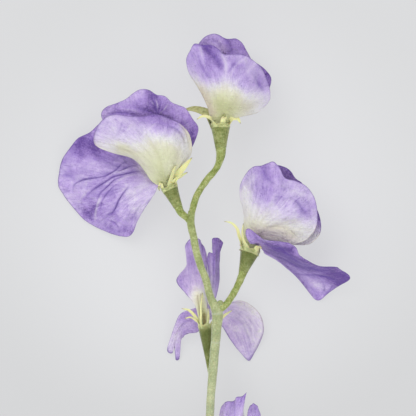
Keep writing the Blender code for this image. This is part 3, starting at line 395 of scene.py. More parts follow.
def green_material(name, pale, middle, dark, palest, sheen):
    """Fuzzy green skin: speckled and blotched, paler and darker where the paint says so."""
    nodes = Nodes(name)
    paleness, shade, browning = nodes.paint("tone"), nodes.paint("fold"), nodes.paint("buff")
    place = nodes.add("TexCoord").outputs["Object"]
    speckle = nodes.noise(place, SPECKLES, 4.0, 0.7)
    blotch = nodes.noise(place, BLOTCHES, 3.0, 0.6)
    fuzz = nodes.noise(nodes.stretch(place, (1.0, 0.35, 1.0)), FUZZ, 3.0, 0.7)
    mixed = nodes.math("ADD", nodes.math("MULTIPLY", speckle, 0.6), nodes.math("MULTIPLY", blotch, 0.4))
    colour = nodes.ramp(mixed, [(0.36, dark), (0.5, middle), (0.64, pale)])
    colour = nodes.mix(paleness, colour, palest)
    colour = nodes.mix(shade, colour, rgb(88, 98, 44))
    # The third paint is brown: rusty sepal tips and specks, and painted shade inside the cups.
    colour = nodes.mix(browning, colour, rgb(112, 76, 30))
    nodes.bump(nodes.math("ADD", fuzz, speckle), 0.00018, 0.8)
    return nodes.finish(colour, 0.85, Sheen_Weight=sheen, Sheen_Roughness=0.3,
                        Sheen_Tint=rgb(248, 249, 240), Subsurface_Weight=0.12,
                        Subsurface_Scale=0.0006, IOR=1.4)


WING = petal_material("wing_petal", 0.34, 0.5, 0.2)
STANDARD = petal_material("standard_petal", 0.46, 0.4, 0.1)
KEEL = petal_material("keel_petal", 0.2, 0.2, 0.2)
STEM = green_material("stem_skin", rgb(200, 204, 148), rgb(154, 165, 94), rgb(112, 126, 56),
                      rgb(224, 227, 210), 1.0)
CALYX = green_material("calyx_skin", rgb(188, 192, 134), rgb(148, 156, 94), rgb(106, 116, 56),
                       rgb(244, 242, 178), 0.7)


# ---------------------------------------------------------------- mesh making

def make_piece(name, node, material, points, faces, paint, grain=None):
    """One finished piece that stands for a node of the frame."""
    mesh = bpy.data.meshes.new(name)
    mesh.from_pydata(placed(points).tolist(), [], faces)
    for channel, values in paint.items():
        layer = mesh.attributes.new(channel, "FLOAT", "POINT")
        layer.data.foreach_set("value", np.ascontiguousarray(values, np.float32))
    if grain is not None:
        loops = np.zeros(len(mesh.loops), np.int32)
        mesh.loops.foreach_get("vertex_index", loops)
        layer = mesh.uv_layers.new(name="veins")
        layer.data.foreach_set("uv", np.asarray(grain)[loops].ravel())
    mesh.materials.append(material)
    mesh.shade_smooth()
    piece = bpy.data.objects.new(name, mesh)
    bpy.context.scene.collection.objects.link(piece)
    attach(piece, "root")
    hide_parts(node)
    return piece


def outward(points, faces):
    """The faces, turned if they face inwards."""
    corners = [(face[0], second, third)
               for face in faces for second, third in zip(face[1:-1], face[2:])]
    first, second, third = (points[index] for index in np.array(corners).T)
    inside = np.einsum("ij,ij->i", first, np.cross(second, third)).sum()
    return faces if inside > 0 else [face[::-1] for face in faces]


def grid_faces(columns, rows, closed=False):
    """Quads over a grid of points; closed joins the last column to the first."""
    faces = []
    for column in range(columns if closed else columns - 1):
        after = (column + 1) % columns
        for row in range(rows - 1):
            faces.append([column * rows + row, after * rows + row,
                          after * rows + row + 1, column * rows + row + 1])
    return faces


def sheet_faces(columns, rows):
    """The faces of a thin closed sheet: two grids and the wall round their edge."""
    front = grid_faces(columns, rows)
    back = columns * rows
    faces = front + [[back + index for index in face[::-1]] for face in front]
    edge = [column * rows for column in range(columns)]
    edge += [(columns - 1) * rows + row for row in range(1, rows)]
    edge += [column * rows + rows - 1 for column in range(columns - 2, -1, -1)]
    edge += list(range(rows - 2, 0, -1))
    for here, after in zip(edge, edge[1:] + edge[:1]):
        faces.append([here, back + here, back + after, after])
    return faces


class Cup:
    """Where one calyx stands: its foot, its mouth and the directions across its mouth."""

    def __init__(self, foot, mouth, foot_radius, mouth_radius):
        self.foot = np.array(foot, float)
        self.mouth = np.array(mouth, float)
        self.foot_radius = foot_radius
        self.mouth_radius = mouth_radius
        self.axis = unit(self.mouth - self.foot)
        self.length = float(np.linalg.norm(self.mouth - self.foot))
        self.across = unit(np.cross(self.axis, (0.0, 0.0, 1.0)))
        self.front = np.cross(self.across, self.axis)

    def point(self, rise, across, front):
        """A point measured from the middle of the mouth, rising along the axis."""
        return self.mouth + rise * self.axis + across * self.across + front * self.front


def route_gap(grid, route, steps):
    """How far each point of a petal is from a route across it, and where along the route."""
    flat = grid[:, :, :2]
    line = evenly([(x, y, 0.0) for x, y in route], steps * len(route))[:, :2]
    gap = np.full(grid.shape[:2], FAR)
    share = np.zeros(grid.shape[:2])
    for start, end, place in zip(line, line[1:], np.linspace(0, 1, len(line) - 1)):
        along = end - start
        t = np.clip(((flat - start) @ along) / max(along @ along, TINY), 0, 1)
        here = np.linalg.norm(flat - start - t[..., None] * along, axis=2)
        share = np.where(here < gap, place, share)
        gap = np.minimum(gap, here)
    return gap, share


def crease_depth(grid, folds):
    """How deep the folds make each point of a petal, and how much painted shade they give it."""
    depth = np.zeros(grid.shape[:2])
    shade = np.zeros(grid.shape[:2])
    for sink, width, dark, route in folds:
        gap, share = route_gap(grid, route, FOLD_STEPS)
        taper = np.sin(np.pi * np.clip(share, 0.02, 0.98)) ** 0.5
        bell = np.exp(-((gap / (FOLD_SHARPNESS * width)) ** 1.5)) * taper
        depth += sink * bell
        shade = shade + FOLD_SHADE_CONTRAST * dark * bell
    return depth, shade


def near_route(grid, width, route):
    """How near each point of a petal is to a route or a spot, from 0 far away to 1 on it."""
    if len(route) == 1:
        gap = np.linalg.norm(grid[:, :, :2] - np.array(route[0]), axis=2)
    else:
        gap = route_gap(grid, route, WASH_STEPS)[0]
    return np.exp(-((gap / width) ** 2))


def petal_grid(cup, seat, spread, wrap, base, rays, cells):
    """A fine grid of (x, y, z, tone) over a petal that fans out from its claw along its rays."""
    knots = np.concatenate([[0.0], np.linspace(NECK_PLACE, 1.0, len(rays[0]) + 1)])
    shares = np.linspace(-0.5, 0.5, len(rays))
    rows = []
    for share, ray in zip(shares, rays):
        across = seat[0] + share * spread[0]
        front = seat[1] + share * spread[1] - wrap * (2 * share) ** 2
        claw = cup.point(-CLAW_DEPTH, CLAW_TAPER * across, CLAW_TAPER * front)
        neck = cup.point(NECK_RISE, across, front)
        rows.append([(*claw, base), (*neck, base), *ray])
    v = np.linspace(0, 1, cells[1] + 1)
    u = np.linspace(0, 1, cells[0] + 1)
    grid = smooth(np.transpose(rows, (1, 0, 2)), knots, v)
    grid = smooth(np.transpose(grid, (1, 0, 2)), np.linspace(0, 1, len(rays)), u)
    inward = np.clip(1 - np.minimum(u, 1 - u) / CORNER_WIDTH, 0, 1)
    reach = 1 - CORNER_DEPTH * (1 - np.sqrt(1 - inward**2))
    for column in range(len(u)):
        stops = v * reach[column]
        shortened = [np.interp(stops, v, grid[column, :, axis]) for axis in range(4)]
        grid[column] = np.stack(shortened, axis=1)
    return grid, u, v


def petal(name, kind, cup, seat, spread, rays, folds=(), washes=(), seed=1, cells=PETAL_CELLS,
          crinkle=0.1, lines=0.35, wrap=0.0, base=CLAW_TONE):
    """One petal.

    rays hold (x, y, z, tone) points, folds (depth, width, darkness of their painted shade, route)
    and washes (paint, strength, width, route), where paint is tone, buff or the painted shade
    and tint, whose negative is painted highlight.  crinkle is the depth of the wrinkles, lines
    the strength of their painted shade and highlight and wrap how far the claw's sides turn back.
    """
    grid, u, v = petal_grid(cup, seat, spread, wrap, base, rays, cells)
    tone = grid[:, :, 3]
    paint = {"tone": tone, "fold": np.zeros_like(tone), "buff": np.zeros_like(tone)}
    grid = grid[:, :, :3]
    for channel, strength, width, route in washes:
        paint[channel] = paint[channel] + strength * near_route(grid, width, route)
    width = np.linalg.norm(np.diff(grid[:, 2 * cells[1] // 3], axis=0), axis=1).sum()
    length = np.linalg.norm(np.diff(grid[cells[0] // 2], axis=0), axis=1).sum()
    u, v = np.meshgrid(u, v, indexing="ij")
    normals = np.cross(np.gradient(grid, axis=0), np.gradient(grid, axis=1))
    normals /= np.linalg.norm(normals, axis=2, keepdims=True)
    facing = np.sign(np.mean(normals[:, :, 2])) or 1.0

    # Folds and wrinkles: how far each point sinks, and how much painted shade it gets in folds and
    # crumples, darker veins, and painted highlight along ridges.
    free = rising(v, 0.2, 0.4)

    def wrinkled(size, own_seed, sharp):
        return wrinkles(u * width / size[0], v * length / size[1], own_seed, sharp) * free

    crumple = wrinkled(CRUMPLE_SIZE, seed * 7, 4.0)
    veins = wrinkled(VEIN_SIZE, seed * 11, 3.0)
    ridges = wrinkled(RIDGE_SIZE, seed * 13, 3.5)
    depth, shade = crease_depth(grid, folds)
    depth = depth + crinkle * (crumple - 0.6 * ridges) + VEIN_DEPTH * veins
    shade = shade + lines * (0.6 * crumple + 0.5 * veins - 0.55 * ridges)
    lift = RUFFLE * v**5 * waves(u, v, seed + 50, 5, 1.5, 6, 0.4)
    lift += 0.35 * crinkle * free * waves(u, v, seed, 6, 3, 9, 1.2)
    lift -= facing * depth * np.clip(v / 0.2, 0, 1)
    grid = grid + lift[:, :, None] * normals
    grid[:, :, 2] = np.maximum(grid[:, :, 2], LOWEST)

    # Two faces a petal's thickness apart, thinner towards the free edge.
    thickness = BASE_THICKNESS + (EDGE_THICKNESS - BASE_THICKNESS) * v**0.5
    half = (thickness / 2)[:, :, None] * normals
    points = np.concatenate([(grid + half).reshape(-1, 3), (grid - half).reshape(-1, 3)])
    faces = outward(points, sheet_faces(cells[0] + 1, cells[1] + 1))

    edge = np.minimum(np.minimum(u, 1 - u) * width, (1 - v) * length) / RIM_WIDTH
    paint["rim"] = np.clip(1 - edge, 0, 1) * rising(v, 0.3, 0.2)
    paint["tone"] = np.clip(paint["tone"], 0, 1)
    paint["fold"] = np.clip(paint["fold"] + shade, -1, 1)
    paint["buff"] = np.clip(paint["buff"], 0, 1)
    paint = {channel: np.tile(values.ravel(), 2) for channel, values in paint.items()}
    grain = np.stack([u * width + seed * 7.3, v * length], axis=2).reshape(-1, 2)
    material = STANDARD if kind == "standard" else WING
    return make_piece(name + "_petal", name, material, points, faces, paint,
                      np.tile(grain, (2, 1)))


def channels(paint):
    """The three painted numbers of a stalk, cup or keel by name."""
    return dict(zip(("tone", "fold", "buff"), np.asarray(paint, float).T))


def tube_grid(route, steps, sides, flat, ripple, seed):
    """The line of a route of (x, y, z, radius), and rippled rings of points round it."""
    line = evenly(route, steps)
    along = np.gradient(line[:, :3], axis=0)
    turns = 2 * np.pi * np.arange(sides) / sides
    places = np.linspace(0, steps / 14, steps + 1)[None, :]
    lift = waves(places, turns[:, None] / 6.28, seed, 6, 0.4, 2.0, 2.0)
    rings = []
    for step in range(steps + 1):
        across = unit(np.cross(along[step], (0.0, 0.0, 1.0)))
        upward = unit(np.cross(across, along[step]))
        radius = line[step, 3] + ripple * lift[:, step]
        reach = np.outer(np.cos(turns), across) + np.outer(np.sin(turns), upward * flat)
        rings.append(line[step, :3] + radius[:, None] * reach)
    return line, np.array(rings).transpose(1, 0, 2)


def tube_faces(sides, rings):
    """The faces of a closed tube over a sides by rings grid."""
    faces = grid_faces(sides, rings, closed=True)
    faces.append([side * rings for side in range(sides)])
    faces.append([side * rings + rings - 1 for side in range(sides)][::-1])
    return faces


def stalk(name, route, pale_rings=(), knobs=(), steps_per_mm=1.6, ripple=0.05, pale=(0.1, 0.1),
          seed=3):
    """A fuzzy round stalk, with pale rings where it has joints and small knobs beside it."""
    length = np.linalg.norm(np.diff(np.array(route)[:, :3], axis=0), axis=1).sum()
    steps = max(12, int(length * steps_per_mm))
    line, grid = tube_grid(route, steps, STEM_SIDES, 1.0, ripple, seed)
    paint = np.zeros((STEM_SIDES, steps + 1, 3))
    paint[:, :, 0] = np.linspace(*pale, steps + 1)
    for place, width, strength in pale_rings:
        gap = np.linalg.norm(line[:, :3] - np.array(place), axis=1)
        paint[:, :, 0] = np.maximum(paint[:, :, 0], strength * np.exp(-((gap / width) ** 2)))
    points = grid.reshape(-1, 3)
    paint = paint.reshape(-1, 3)
    faces = outward(points, tube_faces(STEM_SIDES, steps + 1))
    for centre, radii, tilt in knobs:
        ball, ball_faces = knob(centre, radii, tilt)
        faces = faces + [[index + len(points) for index in face] for face in ball_faces]
        points = np.concatenate([points, ball])
        paint = np.concatenate([paint, np.full((len(ball), 3), (0.15, 0.0, 0.0))])
    return make_piece(name + "_skin", name, STEM, points, faces, channels(paint))


def knob(centre, radii, tilt):
    """A small swelling: a rounded lump with its own radii, tilted in the plane of the plant."""
    sides, rings = 16, 10
    points = []
    for side in range(sides):
        turn = 2 * math.pi * side / sides
        for ring in range(rings + 1):
            rise = math.pi * (0.03 + 0.94 * ring / rings)
            round_off = math.sin(rise)
            x = radii[0] * round_off * math.cos(turn)
            z = radii[2] * round_off * math.sin(turn)
            y = -radii[1] * math.cos(rise)
            points.append((centre[0] + x * math.cos(tilt) - y * math.sin(tilt),
                           centre[1] + x * math.sin(tilt) + y * math.cos(tilt), centre[2] + z))
    points = np.array(points)
    return points, outward(points, tube_faces(sides, rings + 1))


def pedicel(name, cup, route, pale, seed):
    """A short stalk that swells into the foot of its calyx."""
    end = tuple(cup.foot + 0.3 * cup.axis) + (cup.foot_radius * 0.97,)
    before = tuple(cup.foot - 2.0 * cup.axis) + (cup.foot_radius * 0.84,)
    return stalk(name, route + [before, end], steps_per_mm=2.5, pale=(pale, pale), seed=seed)


KEEL_STEPS = 40
KEEL_SIDES = 24
KEEL_FLATNESS = 0.55
KEEL_RIPPLE = 0.02
KEEL_GRAIN = (14, 22)


def keel(name, route, tone, seed):
    """The small petal between the wings, as a flattened tube with closed ends."""
    steps, sides = KEEL_STEPS, KEEL_SIDES
    grid = tube_grid(route, steps, sides, KEEL_FLATNESS, KEEL_RIPPLE, seed)[1]
    points = grid.reshape(-1, 3)
    faces = outward(points, tube_faces(sides, steps + 1))
    share = np.linspace(0, 1, steps + 1)
    paint = np.zeros((sides, steps + 1, 3))
    paint[:, :, 0] = np.clip(share * 2.2, 0, 1) * tone
    grain = np.zeros((sides, steps + 1, 2))
    grain[:, :, 0] = np.linspace(0, KEEL_GRAIN[0], sides)[:, None]
    grain[:, :, 1] = share[None, :] * KEEL_GRAIN[1]
    return make_piece(name + "_petal", name, KEEL, points, faces,
                      channels(paint.reshape(-1, 3)), grain.reshape(-1, 2))


CUP_SIDES = 60
CUP_RINGS = 18
CUP_WALL = 0.35
SEPAL_STEPS = 26
SEPAL_ROWS = 9
SEPAL_ROOT = 0.6
SEPAL_HALF_THICKNESS = 0.12
SEPAL_TIP = 0.05
CURL_RADIUS = 1.7
CURL_TURN = 2.8


def cup_wall(cup, grey, seed):
    """The ribbed hollow cone of a calyx: points, faces and paint."""
    turns = 2 * np.pi * np.arange(CUP_SIDES) / CUP_SIDES
    ribs = 0.07 * np.cos(10 * turns) + 0.05 * np.cos(5 * turns + 0.4)
    lumps = waves(turns / 6.28, 0.0, seed, 5, 2, 9)
    outside = np.linspace(0, 1, CUP_RINGS)
    inside = np.linspace(1, 0.3, CUP_RINGS // 2)
    columns = []
    for number, turn in enumerate(turns):
        reach = math.cos(turn) * cup.across + math.sin(turn) * cup.front
        column = []
        wall = [(share, 0.0) for share in outside] + [(share, CUP_WALL) for share in inside]
        for share, inset in wall:
            radius = cup.foot_radius + share**1.15 * (cup.mouth_radius - cup.foot_radius) - inset
            radius += (ribs[number] + 0.05 * lumps[number]) * share
            rise = cup.length * share + 0.3 * share**8 * math.cos(5 * turn)
            column.append(cup.foot + rise * cup.axis + radius * reach)
        columns.append(column)
    rows = CUP_RINGS + CUP_RINGS // 2
    points = np.array(columns).reshape(-1, 3)
    paint = np.zeros((CUP_SIDES, rows, 3))
    rim = rising(outside, 0.82, 0.18)
    paint[:, :CUP_RINGS, 0] = 0.5 * rim
    paint[:, :CUP_RINGS, 1] = grey * np.clip(outside * 2.5, 0, 1) * (1 - rim)
    # The inside of the cup is painted brown, more so deeper in: painted shade in the hollow.
    paint[:, CUP_RINGS:, 2] = np.clip((1 - inside) * 1.6, 0.1, 0.8)
    return points, outward(points, tube_faces(CUP_SIDES, rows)), paint.reshape(-1, 3)


def sepal(cup, turn, path, width, shade, twist, root):
    """A pointed sepal that broadens out of the rim, follows its path and may turn its face."""
    reach = math.cos(turn) * cup.across + math.sin(turn) * cup.front
    start = cup.mouth + (cup.mouth_radius - 0.15) * reach
    foot = start - 1.6 * cup.axis - 0.14 * reach
    if path is None:
        bends = np.linspace(0, CURL_TURN, 5)[1:]
        path = [start + CURL_RADIUS * (np.sin(bend) * cup.axis + (1 - np.cos(bend)) * reach)
                for bend in bends]
    line = evenly([foot, start] + [np.array(point, float) for point in path], SEPAL_STEPS)
    along = np.gradient(line, axis=0)
    outward_way = reach
    side = np.cross(cup.axis, reach)
    shifts = np.linspace(-1, 1, SEPAL_ROWS)
    root = root * cup.mouth_radius
    front, back = [], []
    for step in range(SEPAL_STEPS + 1):
        share = step / SEPAL_STEPS
        direction = unit(along[step])
        side = unit(side - np.dot(side, direction) * direction)
        face_out = np.cross(direction, side)
        outward_way = face_out if np.dot(face_out, outward_way) > 0 else -face_out
        turned = math.radians(twist) * min(1.0, share / 0.45)
        flat_side = math.cos(turned) * side + math.sin(turned) * outward_way
        flat_face = math.cos(turned) * outward_way - math.sin(turned) * side
        half = width * (1 - share**2.6) ** 0.8 + (root - width) * max(0.0, 1 - share / 0.3) ** 1.6
        half = max(half, SEPAL_TIP)
        dish = -0.35 * half * shifts**2 + 0.06 * np.sin(9 * share + 3 * shifts)
        middle = line[step] + np.outer(shifts * half, flat_side) + np.outer(dish, flat_face)
        front.append(middle + SEPAL_HALF_THICKNESS * flat_face)
        back.append(middle - SEPAL_HALF_THICKNESS * flat_face)
    points = np.concatenate([np.array(front).reshape(-1, 3), np.array(back).reshape(-1, 3)])
    faces = outward(points, sheet_faces(SEPAL_STEPS + 1, SEPAL_ROWS))
    share = np.repeat(np.linspace(0, 1, SEPAL_STEPS + 1), SEPAL_ROWS)
    speckle = np.random.default_rng(int(turn * 100)).random(len(share))
    pale = np.clip(0.35 + share * 2.0, 0, 1) * (1 - shade)
    dark = shade * np.clip(1.3 - share, 0, 1) * (0.3 + 0.9 * speckle)
    browning = np.clip(0.7 * rising(share, 0.93, 0.07) + 0.7 * shade * (speckle > 0.8), 0, 1)
    paint = np.stack([pale, dark, browning], axis=1)
    return points, faces, np.tile(paint, (2, 1))


def calyx(name, cup, sepals, grey, seed, root=SEPAL_ROOT):
    """A calyx: its cup and five sepals, each (turn in degrees, path, width, shade, twist)."""
    points, faces, paint = cup_wall(cup, grey, seed)
    for turn, path, width, shade, twist in sepals:
        more, more_faces, more_paint = sepal(
            cup, math.radians(turn), path, width, shade, twist, root)
        faces = faces + [[index + len(points) for index in face] for face in more_faces]
        points = np.concatenate([points, more])
        paint = np.concatenate([paint, more_paint])
    return make_piece(name + "_cup", name, CALYX, points, faces, channels(paint))


# ---------------------------------------------------------------- the blossoms

# The fold washes are painted shade on folds, overlaps and hollows, and where negative, painted highlight
# on shaded places.
def top_flower():
    """The blossom at the tip, its pouch facing up and its standard folded behind."""
    cup = Cup((4.6, 21.8, 18.0), (4.4, 30.4, 17.2), 2.05, 3.65)
    pedicel("pedicel_top", cup, [
        (-5.85, -1.6, 21.35, 1.2), (-4.0, 4.5, 20.7, 1.2),
        (-0.5, 10.0, 20.0, 1.2), (3.3, 14.8, 19.2, 1.2)], 0.0, 11)
    calyx("calyx_top", cup, [
        (72, None, 1.0, 0.0, 0),
        (135, [(0.6, 32.4, 21.0), (-1.5, 33.0, 21.0), (-4.0, 31.9, 20.5)], 0.8, 0.0, 70),
        (198, [(0.0, 34.0, 15.5), (-2.5, 35.2, 15.0), (-5.4, 35.8, 15.0), (-8.9, 35.3, 15.0)],
         1.65, 0.42, 85),
        (270, None, 1.0, 0.1, 0),
        (0, [(8.6, 32.4, 18.6), (10.8, 32.2, 19.4), (11.8, 30.4, 19.6)], 1.1, 0.0, -60)], 0.1, 21)
    petal("wing_near_top", "wing", cup, (0.0, 2.0), (6.4, 0.0), [
        [(-0.4, 37.0, 19.4, 0.2), (-3.9, 43.8, 19.6, 0.34), (-8.6, 50.4, 19.0, 0.66)],
        [(0.6, 38.2, 22.0, 0.16), (-3.2, 46.6, 23.4, 0.54), (-8.1, 53.8, 20.4, 0.74)],
        [(1.6, 39.0, 23.8, 0.15), (-2.2, 48.6, 25.4, 0.7), (-6.6, 56.6, 21.4, 0.76)],
        [(2.6, 39.4, 25.0, 0.14), (-0.8, 49.6, 26.6, 0.72), (-5.0, 59.0, 22.2, 0.76)],
        [(3.6, 39.6, 26.0, 0.13), (1.0, 49.9, 27.0, 0.77), (-2.4, 58.7, 22.8, 0.82)],
        [(4.6, 39.6, 26.6, 0.13), (3.0, 49.6, 26.8, 0.79), (1.2, 58.5, 23.0, 0.88)],
        [(5.6, 39.6, 27.0, 0.13), (5.0, 49.2, 27.6, 0.74), (3.6, 57.3, 23.8, 0.84)],
        [(6.6, 39.4, 27.2, 0.13), (7.0, 48.8, 28.8, 0.7), (5.6, 55.6, 25.0, 0.7)],
        [(7.6, 39.1, 27.2, 0.13), (9.0, 48.2, 29.6, 0.7), (9.0, 55.3, 25.2, 0.72)],
        [(8.6, 38.7, 27.1, 0.13), (11.0, 47.3, 30.0, 0.68), (12.4, 55.2, 25.0, 0.7)],
        [(9.5, 38.1, 26.8, 0.13), (12.9, 46.0, 29.8, 0.7), (15.3, 53.8, 24.4, 0.68)],
        [(10.3, 37.4, 26.2, 0.14), (14.6, 44.4, 29.0, 0.66), (18.0, 51.4, 23.2, 0.68)],
        [(11.0, 36.6, 25.3, 0.15), (16.2, 42.6, 27.6, 0.58), (20.2, 48.2, 21.8, 0.72)],
        [(11.5, 35.7, 24.1, 0.17), (17.3, 40.6, 25.8, 0.48), (21.8, 44.6, 20.6, 0.74)],
        [(11.6, 34.7, 22.7, 0.2), (17.8, 38.4, 23.6, 0.4), (22.4, 41.0, 19.8, 0.6)],
        [(11.2, 33.6, 21.2, 0.24), (17.4, 36.0, 21.6, 0.37), (22.0, 37.9, 19.0, 0.5)],
        [(10.4, 32.5, 19.8, 0.24), (15.6, 33.6, 19.6, 0.34), (20.0, 34.6, 18.6, 0.4)]],
        folds=[
            (0.7, 1.0, 0.4, [(-2.4, 58.8), (-0.3, 57.0), (1.6, 55.1), (3.2, 52.9), (4.6, 50.8)]),
            (0.35, 1.0, 0.25, [(-3.0, 51.4), (-0.5, 48.6), (1.6, 46.4)]),
            (0.3, 0.8, 0.2, [(10.6, 54.6), (9.2, 51.3), (8.1, 49.0)]),
            (0.5, 0.9, 0.35, [(17.6, 47.8), (18.2, 44.6), (20.3, 41.6)]),
            (-0.25, 0.8, -0.2, [(6.2, 54.8), (6.4, 51.6), (5.8, 48.6)]),
            (0.15, 0.5, 0.15, [(12.6, 53.0), (11.4, 50.0), (9.6, 47.0)]),
            (0.15, 0.5, 0.12, [(15.4, 50.4), (13.4, 48.4), (10.8, 46.0)])],
        washes=[
            ("tone", 0.2, 2.2, [(18.8, 44.8)]),
            ("tone", 0.05, 2.4, [(-2.6, 50.6), (0.8, 47.0)]),
            ("tone", 0.11, 1.5, [(-1.2, 57.4), (2.0, 53.8), (4.6, 51.0)]),
            ("fold", 0.7, 0.4, [(-5.2, 58.9), (-2.2, 58.3), (2.0, 58.5), (4.1, 56.8), (5.3, 55.8),
                                (7.9, 55.6), (13.3, 54.9)]),
            ("fold", -0.45, 0.7, [(-2.8, 57.9), (-1.8, 53.7), (-0.5, 49.1)]),
            ("fold", -0.45, 0.6, [(4.9, 54.9), (6.2, 52.0), (6.6, 48.2)]),
            ("fold", -0.4, 0.6, [(13.3, 53.7), (10.0, 51.2), (7.9, 47.4)]),
            ("fold", -0.35, 0.6, [(16.7, 51.6), (12.9, 47.8), (10.0, 44.9)]),
            ("fold", 0.3, 0.4, [(11.6, 53.6), (9.2, 51.4), (7.0, 48.6)]),
            ("fold", 0.3, 0.4, [(1.2, 58.2), (3.2, 54.4), (4.4, 51.6)]),
            ("fold", 0.3, 0.4, [(-3.6, 54.6), (-2.2, 50.6), (-0.4, 47.2)]),
            ("fold", 0.25, 0.4, [(15.6, 48.4), (18.0, 45.4), (20.2, 42.6)]),
            ("tone", 0.09, 1.2, [(8.0, 53.4), (10.6, 50.8)]),
            ("buff", 1.0, 1.9, [(-2.6, 42.4), (-0.6, 38.6), (1.2, 34.6)]),
            ("fold", 0.3, 1.6, [(-2.6, 42.4), (-0.6, 38.6), (1.2, 34.6)]),
            ("fold", 0.22, 2.6, [(11.0, 37.4), (14.6, 36.2)])],
        wrap=1.6, seed=1)
    petal("wing_far_top", "wing", cup, (0.0, -0.6), (5.6, 0.0), [
        [(1.0, 36.0, 16.0, 0.14), (-2.5, 43.5, 16.5, 0.4), (-7.0, 52.0, 17.0, 0.7)],
        [(1.6, 37.4, 13.8, 0.14), (-1.4, 46.0, 15.4, 0.5), (-5.0, 56.4, 17.6, 0.72)],
        [(2.4, 38.3, 12.0, 0.16), (0.0, 49.0, 15.0, 0.6), (-2.8, 60.0, 18.0, 0.72)],
        [(3.2, 38.8, 11.0, 0.16), (1.6, 50.6, 15.4, 0.64), (-0.8, 61.9, 17.8, 0.72)],
        [(4.0, 39.0, 10.3, 0.16), (3.2, 51.4, 15.8, 0.68), (2.0, 62.8, 17.5, 0.72)],
        [(4.9, 39.0, 10.0, 0.16), (4.9, 51.6, 16.3, 0.72), (4.3, 62.3, 17.5, 0.74)],
        [(5.8, 38.9, 10.0, 0.16), (6.4, 51.4, 16.8, 0.8), (6.4, 61.0, 18.2, 0.84)],
        [(6.8, 38.6, 10.0, 0.16), (8.0, 51.0, 17.0, 0.84), (8.2, 60.9, 18.6, 0.84)],
        [(7.7, 38.3, 10.2, 0.16), (9.5, 50.6, 16.6, 0.78), (10.2, 61.0, 18.0, 0.8)],
        [(8.6, 37.9, 10.6, 0.16), (11.2, 49.8, 16.0, 0.76), (12.3, 59.5, 17.4, 0.8)],
        [(9.4, 37.3, 11.4, 0.16), (13.0, 48.0, 15.6, 0.7), (13.9, 56.8, 17.0, 0.82)],
        [(10.1, 36.7, 12.4, 0.16), (14.6, 46.0, 15.6, 0.6), (15.8, 53.4, 17.0, 0.8)],
        [(10.8, 35.5, 14.0, 0.16), (16.5, 42.0, 16.0, 0.5), (19.0, 48.0, 17.0, 0.76)],
        [(9.8, 33.8, 16.2, 0.16), (15.8, 37.5, 16.8, 0.4), (20.3, 41.0, 17.0, 0.6)]],
        folds=[
            (0.7, 0.9, 0.5, [(8.8, 55.0), (8.2, 57.8), (7.0, 59.9), (5.9, 61.4)]),
            (0.3, 0.6, 0.3, [(1.1, 60.7), (3.2, 59.7), (4.9, 57.6)]),
            (-0.2, 0.7, -0.15, [(6.2, 55.6), (5.6, 58.4), (4.0, 60.8)])],
        washes=[("buff", 0.18, 2.2, [(5.2, 57.2)])], wrap=-1.2, seed=2)
    petal("standard_top", "standard", cup, (0.0, -2.0), (4.6, 0.0), [
        [(0.6, 36.5, 9.5, 0.3), (-2.5, 43.0, 5.0, 0.7), (-6.0, 50.0, 3.0, 0.85)],
        [(2.0, 38.2, 7.0, 0.3), (0.0, 48.5, 2.5, 0.7), (-3.2, 56.8, 1.5, 0.85)],
        [(4.0, 39.0, 6.0, 0.3), (4.0, 51.0, 1.5, 0.7), (3.2, 60.3, 0.8, 0.85)],
        [(6.0, 38.8, 6.0, 0.3), (8.0, 51.0, 1.5, 0.7), (9.0, 59.2, 0.8, 0.85)],
        [(8.0, 38.0, 6.5, 0.3), (12.5, 48.5, 2.5, 0.75), (16.2, 53.6, 2.0, 0.9)],
        [(9.3, 36.8, 8.0, 0.3), (16.0, 44.5, 4.5, 0.8), (20.9, 50.0, 4.0, 0.96)],
        [(9.8, 35.5, 9.5, 0.3), (17.0, 40.2, 7.0, 0.8), (22.9, 45.8, 7.0, 0.96)],
        [(9.0, 34.0, 11.5, 0.3), (15.0, 36.3, 9.5, 0.7), (20.0, 38.5, 9.0, 0.9)]],
        crinkle=0.3, wrap=-1.0, seed=3)
    keel("keel_top", [
        (4.4, 29.2, 17.9, 0.5), (4.6, 33.0, 18.2, 0.8), (6.0, 38.0, 19.2, 2.4),
        (8.0, 43.0, 20.0, 2.8), (9.2, 46.5, 21.0, 1.2)], 0.42, 4)


